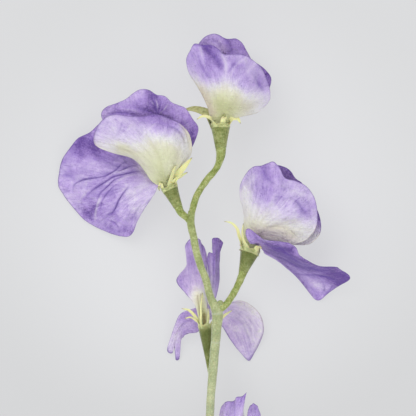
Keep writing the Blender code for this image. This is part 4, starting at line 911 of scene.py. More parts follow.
def left_flower():
    """The blossom on the left, its pouch above and its broad standard spread to the surface."""
    cup = Cup((-10.8, 0.5, 20.1), (-14.2, 7.8, 19.2), 1.65, 3.1)
    pedicel("pedicel_left", cup, [
        (-5.9, -5.6, 21.6, 1.1), (-7.6, -3.6, 21.3, 1.2)], 0.0, 12)
    calyx("calyx_left", cup, [
        (72, [(-13.0, 11.0, 23.8), (-12.2, 13.6, 26.4), (-11.4, 15.4, 28.0)], 0.8, 0.1, 0),
        (18, [(-11.6, 9.8, 21.6), (-9.6, 11.2, 22.8), (-7.4, 12.8, 22.6)], 1.5, 0.05, 55),
        (306, [(-11.4, 11.2, 22.6), (-8.8, 14.2, 23.8), (-5.7, 18.1, 22.6)], 1.7, 0.0, 50),
        (234, None, 1.0, 0.1, 0),
        (144, [(-17.0, 8.8, 21.8), (-17.8, 7.6, 22.6)], 0.8, 0.0, 0)], 0.4, 22)
    petal("wing_near_left", "wing", cup, (0.0, 1.5), (6.0, 0.0), [
        [(-20.6, 10.0, 20.2, 0.12), (-22.6, 13.0, 20.8, 0.16),
         (-27.5, 17.8, 21.2, 0.24), (-37.8, 19.8, 20.6, 0.34)],
        [(-19.6, 11.0, 22.4, 0.12), (-22.8, 15.0, 24.0, 0.2),
         (-29.5, 19.6, 25.0, 0.3), (-40.4, 22.2, 21.4, 0.46)],
        [(-19.2, 12.2, 24.2, 0.12), (-22.6, 16.8, 26.6, 0.2),
         (-30.2, 21.8, 27.8, 0.33), (-41.0, 25.2, 22.4, 0.56)],
        [(-18.6, 13.0, 25.4, 0.11), (-22.0, 18.2, 28.4, 0.2),
         (-29.8, 24.2, 29.8, 0.5), (-39.8, 29.1, 23.6, 0.64)],
        [(-18.0, 13.6, 26.2, 0.1), (-21.2, 19.4, 29.4, 0.22),
         (-28.6, 26.4, 30.4, 0.58), (-37.0, 32.4, 24.6, 0.66)],
        [(-17.2, 14.0, 26.6, 0.09), (-20.0, 20.2, 30.0, 0.22),
         (-26.4, 27.4, 30.6, 0.6), (-33.0, 33.6, 25.4, 0.7)],
        [(-16.4, 14.2, 26.8, 0.08), (-18.6, 20.8, 30.4, 0.2),
         (-23.4, 27.8, 30.6, 0.58), (-28.5, 33.2, 26.0, 0.76)],
        [(-15.6, 14.4, 27.0, 0.13), (-17.2, 21.2, 30.6, 0.2),
         (-20.4, 28.0, 30.6, 0.62), (-24.0, 32.8, 26.6, 0.88)],
        [(-14.8, 14.4, 27.0, 0.13), (-15.6, 21.2, 30.6, 0.18),
         (-17.2, 28.0, 30.4, 0.66), (-18.8, 33.6, 27.0, 0.95)],
        [(-14.0, 14.2, 26.8, 0.13), (-14.0, 20.8, 30.2, 0.18),
         (-14.2, 27.0, 30.0, 0.6), (-13.6, 32.0, 26.8, 0.9)],
        [(-13.3, 13.8, 26.2, 0.13), (-12.4, 20.0, 29.2, 0.19),
         (-11.6, 25.6, 28.8, 0.5), (-9.8, 30.0, 25.6, 0.66)],
        [(-12.7, 13.3, 25.2, 0.13), (-11.1, 18.6, 27.6, 0.23),
         (-9.4, 23.0, 26.8, 0.4), (-7.0, 26.9, 24.2, 0.42)],
        [(-12.3, 12.8, 24.0, 0.1), (-10.2, 17.0, 25.4, 0.25),
         (-8.0, 20.4, 24.6, 0.35), (-5.7, 22.8, 22.8, 0.34)],
        [(-12.0, 12.2, 22.8, 0.12), (-10.0, 15.4, 23.2, 0.28),
         (-8.2, 17.8, 22.8, 0.34), (-6.0, 19.2, 21.8, 0.32)],
        [(-12.2, 11.6, 21.6, 0.14), (-11.0, 13.8, 21.4, 0.22),
         (-10.0, 15.0, 21.2, 0.28), (-8.4, 15.4, 21.0, 0.28)]],
        folds=[
            (0.3, 0.9, 0.2, [(-26.4, 31.6), (-22.0, 31.0), (-17.0, 30.2), (-12.0, 28.4), (-9.0, 26.0)]),
            (0.2, 0.7, 0.12, [(-25.6, 25.4), (-22.0, 27.4), (-19.4, 30.6)]),
            (0.2, 0.9, 0.12, [(-33.8, 22.2), (-29.6, 20.6), (-25.4, 19.6)]),
            (0.12, 0.5, 0.15, [(-16.4, 24.0), (-14.6, 27.4), (-14.0, 31.0)]),
            (0.15, 0.35, 0.35, [(-11.4, 30.4), (-8.9, 28.4), (-7.4, 25.4), (-6.9, 22.0)]),
            (0.15, 0.4, 0.35, [(-14.0, 29.6), (-11.0, 28.2), (-9.0, 25.4), (-8.2, 22.4)]),
            (-0.15, 0.5, -0.4, [(-24.0, 25.4), (-21.0, 28.6), (-17.6, 31.2)]),
            (-0.12, 0.5, -0.4, [(-31.0, 25.4), (-28.4, 28.6), (-27.0, 31.0)]),
            (0.12, 0.4, 0.3, [(-33.4, 25.2), (-31.4, 28.4), (-30.6, 31.4)]),
            (0.12, 0.5, 0.15, [(-13.0, 24.4), (-11.6, 27.0), (-10.8, 29.6)])],
        washes=[
            ("buff", 0.8, 0.8, [(-9.6, 30.2), (-8.0, 28.0), (-6.2, 25.0), (-5.8, 21.4)]),
            ("buff", 0.4, 1.4, [(-40.0, 22.4), (-37.0, 19.8), (-32.0, 18.2)]),
            ("tone", 0.03, 3.0, [(-15.8, 31.6)]),
            ("tone", -0.12, 2.6, [(-30.4, 21.4)])],
        wrap=1.2, seed=5, cells=(200, 120))
    petal("wing_far_left", "wing", cup, (0.3, -0.7), (4.2, 0.0), [
        [(-22.5, 15.5, 18.2, 0.16), (-33.0, 24.0, 18.4, 0.66), (-38.4, 31.4, 20.0, 0.7)],
        [(-22.6, 17.0, 16.4, 0.16), (-33.0, 27.0, 18.0, 0.66), (-38.5, 33.9, 19.8, 0.72)],
        [(-22.4, 18.0, 15.0, 0.16), (-31.6, 29.4, 18.4, 0.74), (-36.6, 36.4, 19.5, 0.74)],
        [(-21.8, 19.0, 13.6, 0.16), (-30.0, 31.0, 19.6, 0.8), (-33.0, 37.7, 19.0, 0.76)],
        [(-21.0, 19.6, 13.0, 0.16), (-28.0, 32.2, 20.4, 0.82), (-30.0, 39.2, 18.6, 0.74)],
        [(-20.0, 19.9, 12.4, 0.16), (-25.6, 33.2, 21.0, 0.84), (-27.2, 41.2, 18.2, 0.7)],
        [(-18.8, 20.0, 12.0, 0.16), (-23.0, 33.6, 21.2, 0.9), (-24.0, 42.6, 18.0, 0.74)],
        [(-17.6, 20.0, 12.0, 0.16), (-20.6, 33.8, 21.4, 0.92), (-21.2, 42.5, 18.2, 0.88)],
        [(-16.4, 19.8, 12.0, 0.16), (-18.6, 33.6, 21.6, 0.94), (-18.6, 40.9, 18.6, 0.84)],
        [(-15.0, 19.4, 12.0, 0.16), (-17.0, 33.2, 21.6, 0.92), (-15.6, 40.3, 19.0, 0.78)],
        [(-13.8, 19.0, 12.1, 0.16), (-15.0, 32.4, 21.2, 0.88), (-13.2, 38.2, 19.0, 0.78)],
        [(-12.6, 18.5, 12.3, 0.16), (-12.6, 31.0, 20.6, 0.84), (-10.6, 37.1, 19.0, 0.74)],
        [(-11.4, 17.9, 12.6, 0.16), (-10.6, 29.2, 20.0, 0.84), (-8.0, 35.8, 19.0, 0.76)],
        [(-10.6, 17.2, 13.2, 0.16), (-8.8, 27.0, 19.4, 0.86), (-5.6, 32.2, 19.0, 0.84)],
        [(-10.2, 16.0, 14.4, 0.16), (-7.4, 23.8, 18.8, 0.88), (-3.3, 28.4, 18.6, 0.88)],
        [(-10.0, 14.6, 15.6, 0.16), (-6.9, 20.8, 18.0, 0.9), (-4.8, 22.2, 18.4, 0.95)]],
        folds=[
            (0.5, 0.42, 0.6, [(-17.8, 33.6), (-19.4, 36.2), (-21.5, 38.3)]),
            (0.4, 0.38, 0.55, [(-17.6, 34.0), (-18.8, 36.8), (-20.6, 40.4)]),
            (0.3, 0.25, 0.5, [(-18.3, 33.8), (-19.0, 36.6), (-20.0, 39.4)]),
            (-0.3, 0.3, -0.55, [(-18.0, 34.2), (-18.2, 37.0), (-19.0, 39.6)]),
            (0.3, 0.25, 0.5, [(-18.0, 34.0), (-17.2, 36.8), (-16.6, 39.0)]),
            (-0.25, 0.3, -0.5, [(-17.4, 33.8), (-15.4, 36.0), (-14.2, 37.8)]),
            (-0.25, 0.4, -0.45, [(-24.6, 34.2), (-28.0, 35.4), (-31.6, 35.6)]),
            (0.5, 0.5, 0.55, [(-26.2, 36.0), (-22.3, 35.0), (-17.8, 33.6)]),
            (0.4, 0.5, 0.5, [(-17.6, 33.4), (-14.0, 32.0), (-10.6, 29.0)]),
            (0.3, 0.5, 0.6, [(-37.0, 33.0), (-33.0, 34.3), (-29.0, 34.1), (-24.6, 33.2)]),
            (-0.3, 0.8, -0.3, [(-18.4, 35.2), (-19.6, 37.2), (-22.4, 38.0)]),
            (-0.2, 0.6, -0.2, [(-11.2, 33.6), (-8.6, 31.4), (-6.6, 28.4)])],
        washes=[("tone", 0.15, 2.2, [(-20.6, 41.6)])], crinkle=0.2, seed=6, cells=(170, 90))
    petal("standard_left", "standard", cup, (-2.3, 0.0), (0.0, 3.6), [
        [(-18.2, 14.0, 10.0, 0.4), (-19.5, 24.0, 5.5, 0.7), (-23.0, 33.0, 4.0, 0.8)],
        [(-22.0, 16.2, 9.5, 0.4), (-27.0, 25.0, 5.0, 0.7), (-32.0, 33.5, 3.5, 0.8)],
        [(-23.6, 15.6, 11.0, 0.45), (-31.0, 24.0, 7.0, 0.7), (-38.6, 31.0, 4.3, 0.86)],
        [(-24.6, 14.4, 12.5, 0.55), (-34.0, 21.5, 9.0, 0.85), (-42.6, 27.4, 4.0, 0.84)],
        [(-25.0, 13.2, 13.5, 0.62), (-36.0, 19.0, 10.0, 0.82), (-47.2, 25.3, 3.5, 0.8)],
        [(-25.4, 12.2, 14.4, 0.64), (-37.4, 16.4, 11.0, 0.74), (-50.4, 21.4, 3.0, 0.76)],
        [(-25.6, 11.2, 15.1, 0.66), (-38.2, 13.6, 11.6, 0.7), (-53.1, 17.2, 2.4, 0.74)],
        [(-25.6, 10.4, 15.5, 0.66), (-38.5, 11.0, 11.9, 0.72), (-54.2, 13.0, 1.9, 0.7)],
        [(-25.5, 9.6, 15.8, 0.64), (-38.5, 8.4, 12.0, 0.74), (-54.3, 9.2, 1.5, 0.66)],
        [(-25.3, 8.8, 16.0, 0.62), (-38.0, 6.0, 12.0, 0.76), (-53.0, 5.8, 1.3, 0.62)],
        [(-25.0, 8.1, 16.2, 0.58), (-37.0, 3.7, 12.0, 0.76), (-50.6, 2.0, 1.2, 0.64)],
        [(-24.5, 7.4, 16.4, 0.56), (-35.8, 1.8, 12.1, 0.76), (-47.6, -1.2, 1.2, 0.78)],
        [(-24.0, 6.8, 16.6, 0.55), (-34.3, 0.3, 12.2, 0.74), (-44.2, -4.6, 1.3, 0.76)],
        [(-23.4, 6.2, 16.8, 0.6), (-32.6, -1.0, 12.4, 0.72), (-40.2, -7.5, 1.8, 0.72)],
        [(-22.7, 5.6, 17.0, 0.6), (-30.8, -2.0, 12.7, 0.68), (-36.2, -9.0, 2.6, 0.78)],
        [(-21.8, 5.2, 17.3, 0.6), (-28.6, -2.4, 13.3, 0.63), (-32.2, -9.9, 3.8, 0.78)],
        [(-20.9, 4.9, 17.6, 0.6), (-26.2, -2.0, 14.0, 0.62), (-28.8, -10.1, 5.4, 0.78)],
        [(-20.1, 4.7, 17.9, 0.6), (-24.2, -1.0, 14.8, 0.62), (-26.9, -8.6, 7.2, 0.76)],
        [(-19.4, 4.8, 18.2, 0.6), (-22.4, 0.4, 15.6, 0.62), (-26.2, -5.6, 9.0, 0.72)]],
        folds=[
            (0.8, 0.38, 0.9, [(-22.7, 13.2), (-26.4, 13.2), (-30.6, 12.3), (-34.7, 11.1), (-37.1, 9.5),
                              (-40.4, 7.4), (-42.9, 5.4), (-44.7, 2.9)]),
            (0.6, 0.32, 0.8, [(-30.4, 11.6), (-33.8, 10.2), (-36.3, 7.8), (-39.2, 4.9), (-40.2, 2.5)]),
            (0.45, 0.3, 0.7, [(-33.2, 8.6), (-36.2, 5.6), (-38.4, 2.2), (-39.0, -0.6)]),
            (0.6, 0.34, 0.8, [(-35.2, 12.4), (-38.6, 11.3), (-42.5, 10.7), (-46.2, 9.9), (-48.6, 8.2),
                             (-48.9, 6.0)]),
            (0.5, 0.32, 0.7, [(-29.0, 17.0), (-31.4, 15.8), (-33.2, 14.0), (-35.6, 12.4), (-38.6, 10.2)]),
            (0.4, 0.3, 0.6, [(-25.0, 15.4), (-28.4, 15.0), (-31.2, 13.8), (-34.2, 12.2)]),
            (0.8, 0.4, 0.85, [(-28.4, 8.0), (-30.6, 5.4), (-32.2, 2.9), (-33.6, -0.2), (-34.7, -1.8),
                              (-36.9, -2.6)]),
            (0.4, 0.34, 0.6, [(-36.3, -4.5), (-33.8, -5.4), (-31.8, -7.4)]),
            (0.3, 0.5, 0.25, [(-47.0, 15.6), (-50.0, 15.2), (-52.6, 15.4)]),
            (0.3, 0.6, 0.25, [(-44.6, 12.6), (-48.8, 12.0), (-52.8, 11.6)]),
            (-0.6, 0.5, -0.6, [(-37.8, 5.4), (-39.4, 2.4), (-40.4, -1.6), (-41.0, -6.2)]),
            (-0.4, 0.36, -0.5, [(-23.6, 12.0), (-28.0, 11.6), (-31.6, 10.2), (-34.6, 7.6)]),
            (-0.35, 0.32, -0.5, [(-26.0, 14.4), (-30.0, 13.6), (-34.0, 12.6), (-37.6, 10.8)]),
            (-0.35, 0.45, -0.4, [(-39.0, 8.8), (-42.0, 7.4), (-45.0, 4.4), (-47.4, 1.4)])],
        washes=[
            ("tone", 0.16, 4.5, [(-46.8, 21.6), (-41.0, 20.4)]),
            ("tone", 0.14, 3.4, [(-44.6, 1.6), (-43.0, -1.8)]),
            ("tone", 0.1, 3.4, [(-34.0, -3.0), (-31.0, -7.0)]),
            ("tone", -0.07, 3.2, [(-27.8, 5.2), (-26.4, 0.0)]),
            ("tone", -0.05, 5.0, [(-40.0, 14.0), (-45.0, 9.0)]),
            ("fold", -0.3, 2.6, [(-50.0, 4.6), (-47.6, 0.6)]),
            ("tone", 0.1, 1.6, [(-27.6, -8.6)])],
        seed=7, cells=(300, 150), crinkle=0.34, lines=0.7, base=0.6)
    keel("keel_left", [
        (-13.9, 6.9, 19.6, 0.4), (-15.2, 10.3, 19.6, 0.7), (-17.5, 15.0, 20.0, 2.2),
        (-20.0, 20.0, 21.4, 2.8), (-22.0, 23.5, 23.0, 1.2)], 0.42, 8)


def right_flower():
    """The blossom on the right, its standard turned on edge and hanging to the surface."""
    cup = Cup((12.6, -23.0, 20.1), (15.3, -14.8, 19.2), 1.65, 3.65)
    pedicel("pedicel_right", cup, [
        (3.4, -37.2, 21.3, 1.2), (6.0, -35.2, 21.6, 1.25), (9.0, -31.0, 21.3, 1.2)], 0.0, 13)
    calyx("calyx_right", cup, [
        (180, [(11.2, -10.2, 19.5), (10.4, -7.4, 19.8), (8.4, -5.4, 20.0), (5.8, -4.8, 20.0)],
         0.65, 0.0, 80),
        (126, [(12.6, -11.2, 22.4), (12.3, -8.4, 22.8), (12.7, -5.6, 23.0)], 0.6, 0.1, 0),
        (48, [(18.0, -13.8, 23.2), (19.4, -14.6, 23.4)], 1.3, 0.1, 0),
        (338, [(18.9, -13.4, 18.0), (19.2, -12.2, 17.6)], 0.9, 0.3, 0),
        (234, None, 1.0, 0.1, 0)], 0.62, 23, 0.85)
    petal("wing_near_right", "wing", cup, (-0.6, 1.6), (5.6, 0.0), [
        [(13.0, -5.6, 19.5, 0.26), (12.4, -0.6, 19.8, 0.37), (10.5, 4.4, 19.8, 0.5)],
        [(13.6, -4.8, 21.6, 0.28), (12.8, 1.2, 21.6, 0.38), (11.1, 7.6, 20.4, 0.6)],
        [(14.4, -4.4, 23.4, 0.3), (13.8, 3.0, 23.6, 0.4), (12.7, 10.6, 21.2, 0.64)],
        [(15.2, -4.1, 24.8, 0.3), (15.2, 4.4, 25.4, 0.48), (14.5, 13.3, 22.0, 0.66)],
        [(16.0, -4.0, 25.9, 0.32), (16.8, 5.2, 26.9, 0.58), (16.6, 15.0, 22.8, 0.7)],
        [(16.8, -4.0, 26.6, 0.34), (18.4, 5.4, 27.6, 0.64), (19.2, 15.3, 23.4, 0.84)],
        [(17.5, -4.1, 27.1, 0.34), (20.2, 5.3, 27.9, 0.68), (21.4, 16.0, 23.6, 0.76)],
        [(18.1, -4.3, 27.5, 0.34), (22.0, 4.9, 28.4, 0.7), (23.6, 16.6, 24.0, 0.7)],
        [(18.7, -4.6, 27.8, 0.34), (23.8, 4.2, 29.2, 0.66), (25.6, 14.4, 25.0, 0.72)],
        [(19.2, -5.0, 28.0, 0.34), (25.6, 3.2, 30.0, 0.64), (27.6, 11.0, 26.0, 0.7)],
        [(19.7, -5.4, 28.1, 0.34), (27.4, 2.1, 30.3, 0.62), (31.6, 9.9, 25.8, 0.68)],
        [(20.1, -5.9, 28.0, 0.32), (29.0, 0.8, 30.4, 0.62), (35.3, 7.9, 25.0, 0.64)],
        [(20.5, -6.5, 27.6, 0.3), (30.3, -0.8, 30.2, 0.6), (37.7, 4.5, 24.4, 0.66)],
        [(20.7, -7.2, 26.9, 0.28), (31.1, -2.7, 29.3, 0.54), (39.1, 0.2, 23.8, 0.74)],
        [(20.7, -8.0, 25.8, 0.27), (31.2, -4.9, 27.6, 0.42), (39.4, -4.2, 23.2, 0.6)],
        [(20.5, -8.8, 25.2, 0.26), (30.8, -7.2, 26.4, 0.33), (38.6, -7.4, 23.2, 0.44)],
        [(20.1, -9.6, 24.4, 0.28), (29.8, -9.4, 25.0, 0.3), (37.0, -9.9, 22.8, 0.38)],
        [(19.5, -10.4, 23.6, 0.28), (28.4, -11.4, 23.8, 0.29), (34.8, -12.0, 22.4, 0.32)],
        [(18.8, -11.2, 22.8, 0.28), (26.2, -12.6, 22.8, 0.28), (31.4, -13.4, 22.0, 0.3)]],
        folds=[
            (0.7, 0.9, 0.4, [(19.4, 15.4), (20.6, 12.0), (22.3, 9.8), (24.6, 8.0)]),
            (0.16, 0.6, 0.16, [(18.6, -6.2), (21.6, -6.7), (26.2, -6.8), (29.3, -7.9), (31.4, -9.9),
                             (32.0, -12.0)]),
            (0.3, 0.8, 0.3, [(31.4, 2.4), (33.6, 0.0), (35.4, -2.5)]),
            (0.2, 0.5, 0.25, [(28.6, 4.6), (31.6, 2.6), (34.6, -0.8)]),
            (0.2, 0.5, 0.2, [(23.6, 4.4), (27.6, 3.6), (31.6, 4.4)]),
            (-0.2, 0.6, -0.2, [(24.6, 6.0), (28.6, 5.6), (32.6, 6.6)]),
            (0.15, 0.5, 0.2, [(17.0, 4.0), (17.4, 7.6), (17.2, 11.6)]),
            (0.15, 0.5, 0.2, [(19.4, 2.4), (20.4, 5.6), (20.6, 8.4)])],
        washes=[
            ("tone", 0.14, 2.4, [(34.6, -1.2)]),
            ("tone", 0.1, 2.4, [(21.6, 11.6)]),
            ("buff", 0.9, 2.2, [(18.0, -8.4), (22.0, -9.0), (26.0, -8.9), (29.4, -10.8)]),
            ("buff", 0.2, 2.0, [(24.0, -12.0), (30.0, -13.0)]),
            ("fold", -0.5, 2.4, [(12.8, -2.0), (12.2, 4.0)]),
            ("fold", -0.4, 2.6, [(18.0, -8.4), (22.0, -9.6), (26.0, -10.4), (30.0, -12.0)])],
        wrap=1.2, seed=9, cells=(200, 110), crinkle=0.16, lines=0.5)
    petal("wing_far_right", "wing", cup, (-0.6, -0.6), (4.4, 0.0), [
        [(14.0, -6.0, 16.8, 0.2), (13.6, 1.0, 16.8, 0.4), (13.0, 8.0, 17.2, 0.6)],
        [(15.6, -5.2, 13.5, 0.2), (17.0, 4.0, 12.5, 0.5), (18.0, 13.6, 16.5, 0.8)],
        [(17.5, -4.8, 11.5, 0.2), (21.0, 4.5, 11.5, 0.6), (24.0, 15.3, 17.5, 0.88)],
        [(18.3, -5.0, 11.0, 0.2), (23.0, 4.3, 11.2, 0.65), (27.4, 14.9, 18.2, 0.9)],
        [(19.0, -5.2, 10.8, 0.2), (24.6, 4.0, 11.0, 0.7), (29.9, 12.9, 18.5, 0.9)],
        [(19.5, -5.5, 10.8, 0.2), (26.4, 3.2, 11.0, 0.65), (32.0, 10.4, 18.2, 0.9)],
        [(20.0, -5.8, 10.8, 0.2), (28.0, 2.0, 11.0, 0.6), (34.6, 7.6, 18.0, 0.8)],
        [(20.8, -6.8, 11.2, 0.2), (31.0, -1.0, 11.5, 0.6), (38.4, 1.6, 17.4, 0.8)],
        [(20.9, -7.4, 12.0, 0.2), (32.0, -3.0, 12.4, 0.55), (40.0, -3.2, 18.4, 0.94)],
        [(20.8, -8.2, 13.0, 0.2), (32.2, -5.4, 13.6, 0.5), (40.7, -7.2, 19.0, 0.68)],
        [(20.4, -9.2, 14.6, 0.2), (31.2, -8.2, 15.4, 0.45), (39.4, -10.5, 19.0, 0.36)],
        [(19.9, -10.0, 16.0, 0.2), (29.4, -10.6, 17.0, 0.36), (36.8, -13.0, 18.8, 0.34)],
        [(19.2, -10.9, 17.2, 0.2), (27.0, -12.2, 18.0, 0.28), (32.8, -13.7, 18.8, 0.28)]],
        washes=[("fold", -0.7, 3.0, [(34.0, -13.4), (38.0, -11.4), (40.4, -8.4)])],
        crinkle=0.2, wrap=-0.8, seed=10, lines=0.6)
    petal("standard_right", "standard", cup, (2.2, -0.2), (0.0, -4.2), [
        [(15.0, -12.6, 23.6, 0.84), (13.5, -10.0, 25.8, 0.8), (13.4, -6.4, 27.5, 0.78)],
        [(16.2, -12.2, 24.4, 0.86), (15.4, -10.2, 26.8, 0.82), (15.1, -7.4, 28.4, 0.78)],
        [(17.6, -12.2, 24.8, 0.88), (17.4, -10.8, 27.4, 0.84), (17.6, -9.1, 29.2, 0.8)],
        [(19.0, -12.6, 24.8, 0.9), (19.8, -11.8, 27.6, 0.88), (20.6, -11.2, 29.6, 0.82)],
        [(20.6, -13.2, 24.4, 0.95), (22.8, -12.8, 27.4, 0.94), (25.4, -12.3, 29.8, 0.9)],
        [(22.0, -13.9, 23.8, 0.98), (25.4, -13.8, 26.8, 0.97), (29.2, -13.0, 29.0, 0.84)],
        [(23.0, -14.6, 23.0, 0.98), (27.6, -14.8, 26.0, 0.98), (31.6, -14.1, 28.0, 0.82)],
        [(23.8, -15.2, 22.2, 0.98), (29.2, -16.2, 25.0, 1.0), (32.9, -17.0, 26.8, 0.84)],
        [(24.5, -15.8, 21.2, 0.98), (31.2, -17.8, 23.8, 1.0), (36.0, -19.0, 25.8, 0.95)],
        [(25.1, -16.3, 20.0, 0.98), (33.6, -19.3, 22.2, 1.0), (40.0, -20.6, 24.4, 0.95)],
        [(25.6, -16.8, 18.4, 0.98), (36.0, -20.8, 20.0, 1.0), (45.8, -21.2, 22.0, 0.95)],
        [(25.8, -17.2, 16.8, 0.98), (37.8, -22.0, 17.4, 1.0), (48.0, -22.6, 18.8, 0.96)],
        [(25.8, -17.5, 15.2, 0.98), (38.6, -23.2, 14.4, 0.98), (51.3, -25.3, 14.8, 1.0)],
        [(25.6, -17.7, 13.8, 0.97), (38.4, -24.2, 11.4, 0.9), (47.6, -28.0, 10.0, 0.98)],
        [(25.2, -17.8, 12.6, 0.96), (37.4, -25.0, 8.8, 0.8), (45.4, -29.7, 5.4, 0.8)],
        [(24.8, -17.8, 11.6, 0.95), (36.0, -25.2, 6.6, 0.76), (43.0, -31.4, 2.6, 0.72)],
        [(24.3, -17.6, 11.0, 0.94), (34.2, -25.0, 5.0, 0.8), (40.2, -33.2, 1.2, 0.86)],
        [(23.8, -17.3, 10.5, 0.92), (32.4, -24.4, 4.0, 0.92), (37.4, -31.4, 0.5, 0.92)],
        [(23.2, -17.0, 10.2, 0.9), (30.4, -23.4, 3.4, 0.92), (34.2, -28.0, 0.4, 0.94)],
        [(22.4, -16.6, 10.3, 0.86), (28.0, -21.6, 4.0, 0.84), (31.0, -23.6, 0.8, 0.84)],
        [(21.4, -16.5, 10.6, 0.8), (25.4, -19.4, 5.2, 0.78), (27.8, -20.8, 2.0, 0.76)],
        [(20.6, -15.9, 11.7, 0.8), (22.8, -17.0, 7.4, 0.76), (24.2, -18.2, 4.4, 0.74)],
        [(19.9, -15.2, 12.8, 0.8), (20.2, -16.0, 9.6, 0.75), (20.9, -16.8, 7.2, 0.74)]],
        folds=[
            (0.5, 0.4, 0.6, [(20.4, -12.6), (23.0, -13.9), (26.0, -14.8), (29.3, -17.2), (33.6, -20.0),
                              (38.0, -21.8), (43.0, -22.4)]),
            (0.5, 0.4, 0.6, [(31.0, -23.6), (35.4, -24.4), (40.6, -24.6), (44.6, -25.6), (47.0, -27.4)]),
            (0.3, 0.4, 0.5, [(27.6, -18.4), (31.0, -20.6), (35.0, -22.8)]),
            (0.2, 0.35, 0.35, [(41.0, -26.2), (42.2, -29.0), (41.4, -31.4)]),
            (0.25, 0.35, 0.4, [(46.4, -25.8), (45.0, -28.2), (43.6, -30.6)]),
            (-0.2, 0.5, -0.25, [(33.6, -18.6), (38.4, -20.6), (44.6, -21.0)]),
            (-0.15, 0.4, -0.2, [(38.4, -23.4), (43.0, -23.9), (47.4, -24.4)])],
        washes=[
            ("tone", -0.06, 2.2, [(38.8, -27.4), (42.6, -29.2)]),
            ("fold", 0.5, 1.7, [(23.6, -15.4), (29.4, -18.2), (35.4, -21.2), (42.0, -23.0)]),
            ("fold", 0.45, 1.0, [(49.6, -25.6), (46.6, -28.4), (43.4, -31.0)]),
            ("tone", -0.06, 1.2, [(22.6, -17.8), (26.0, -20.2), (29.4, -22.8)])],
        seed=11, cells=(220, 110), crinkle=0.28, lines=0.6, base=0.8)
    keel("keel_right", [
        (14.6, -15.8, 19.7, 0.4), (15.6, -12.2, 19.8, 0.7), (18.5, -8.0, 19.9, 2.0),
        (22.5, -4.0, 20.4, 2.6), (25.5, -1.0, 21.5, 1.2)], 0.42, 12)


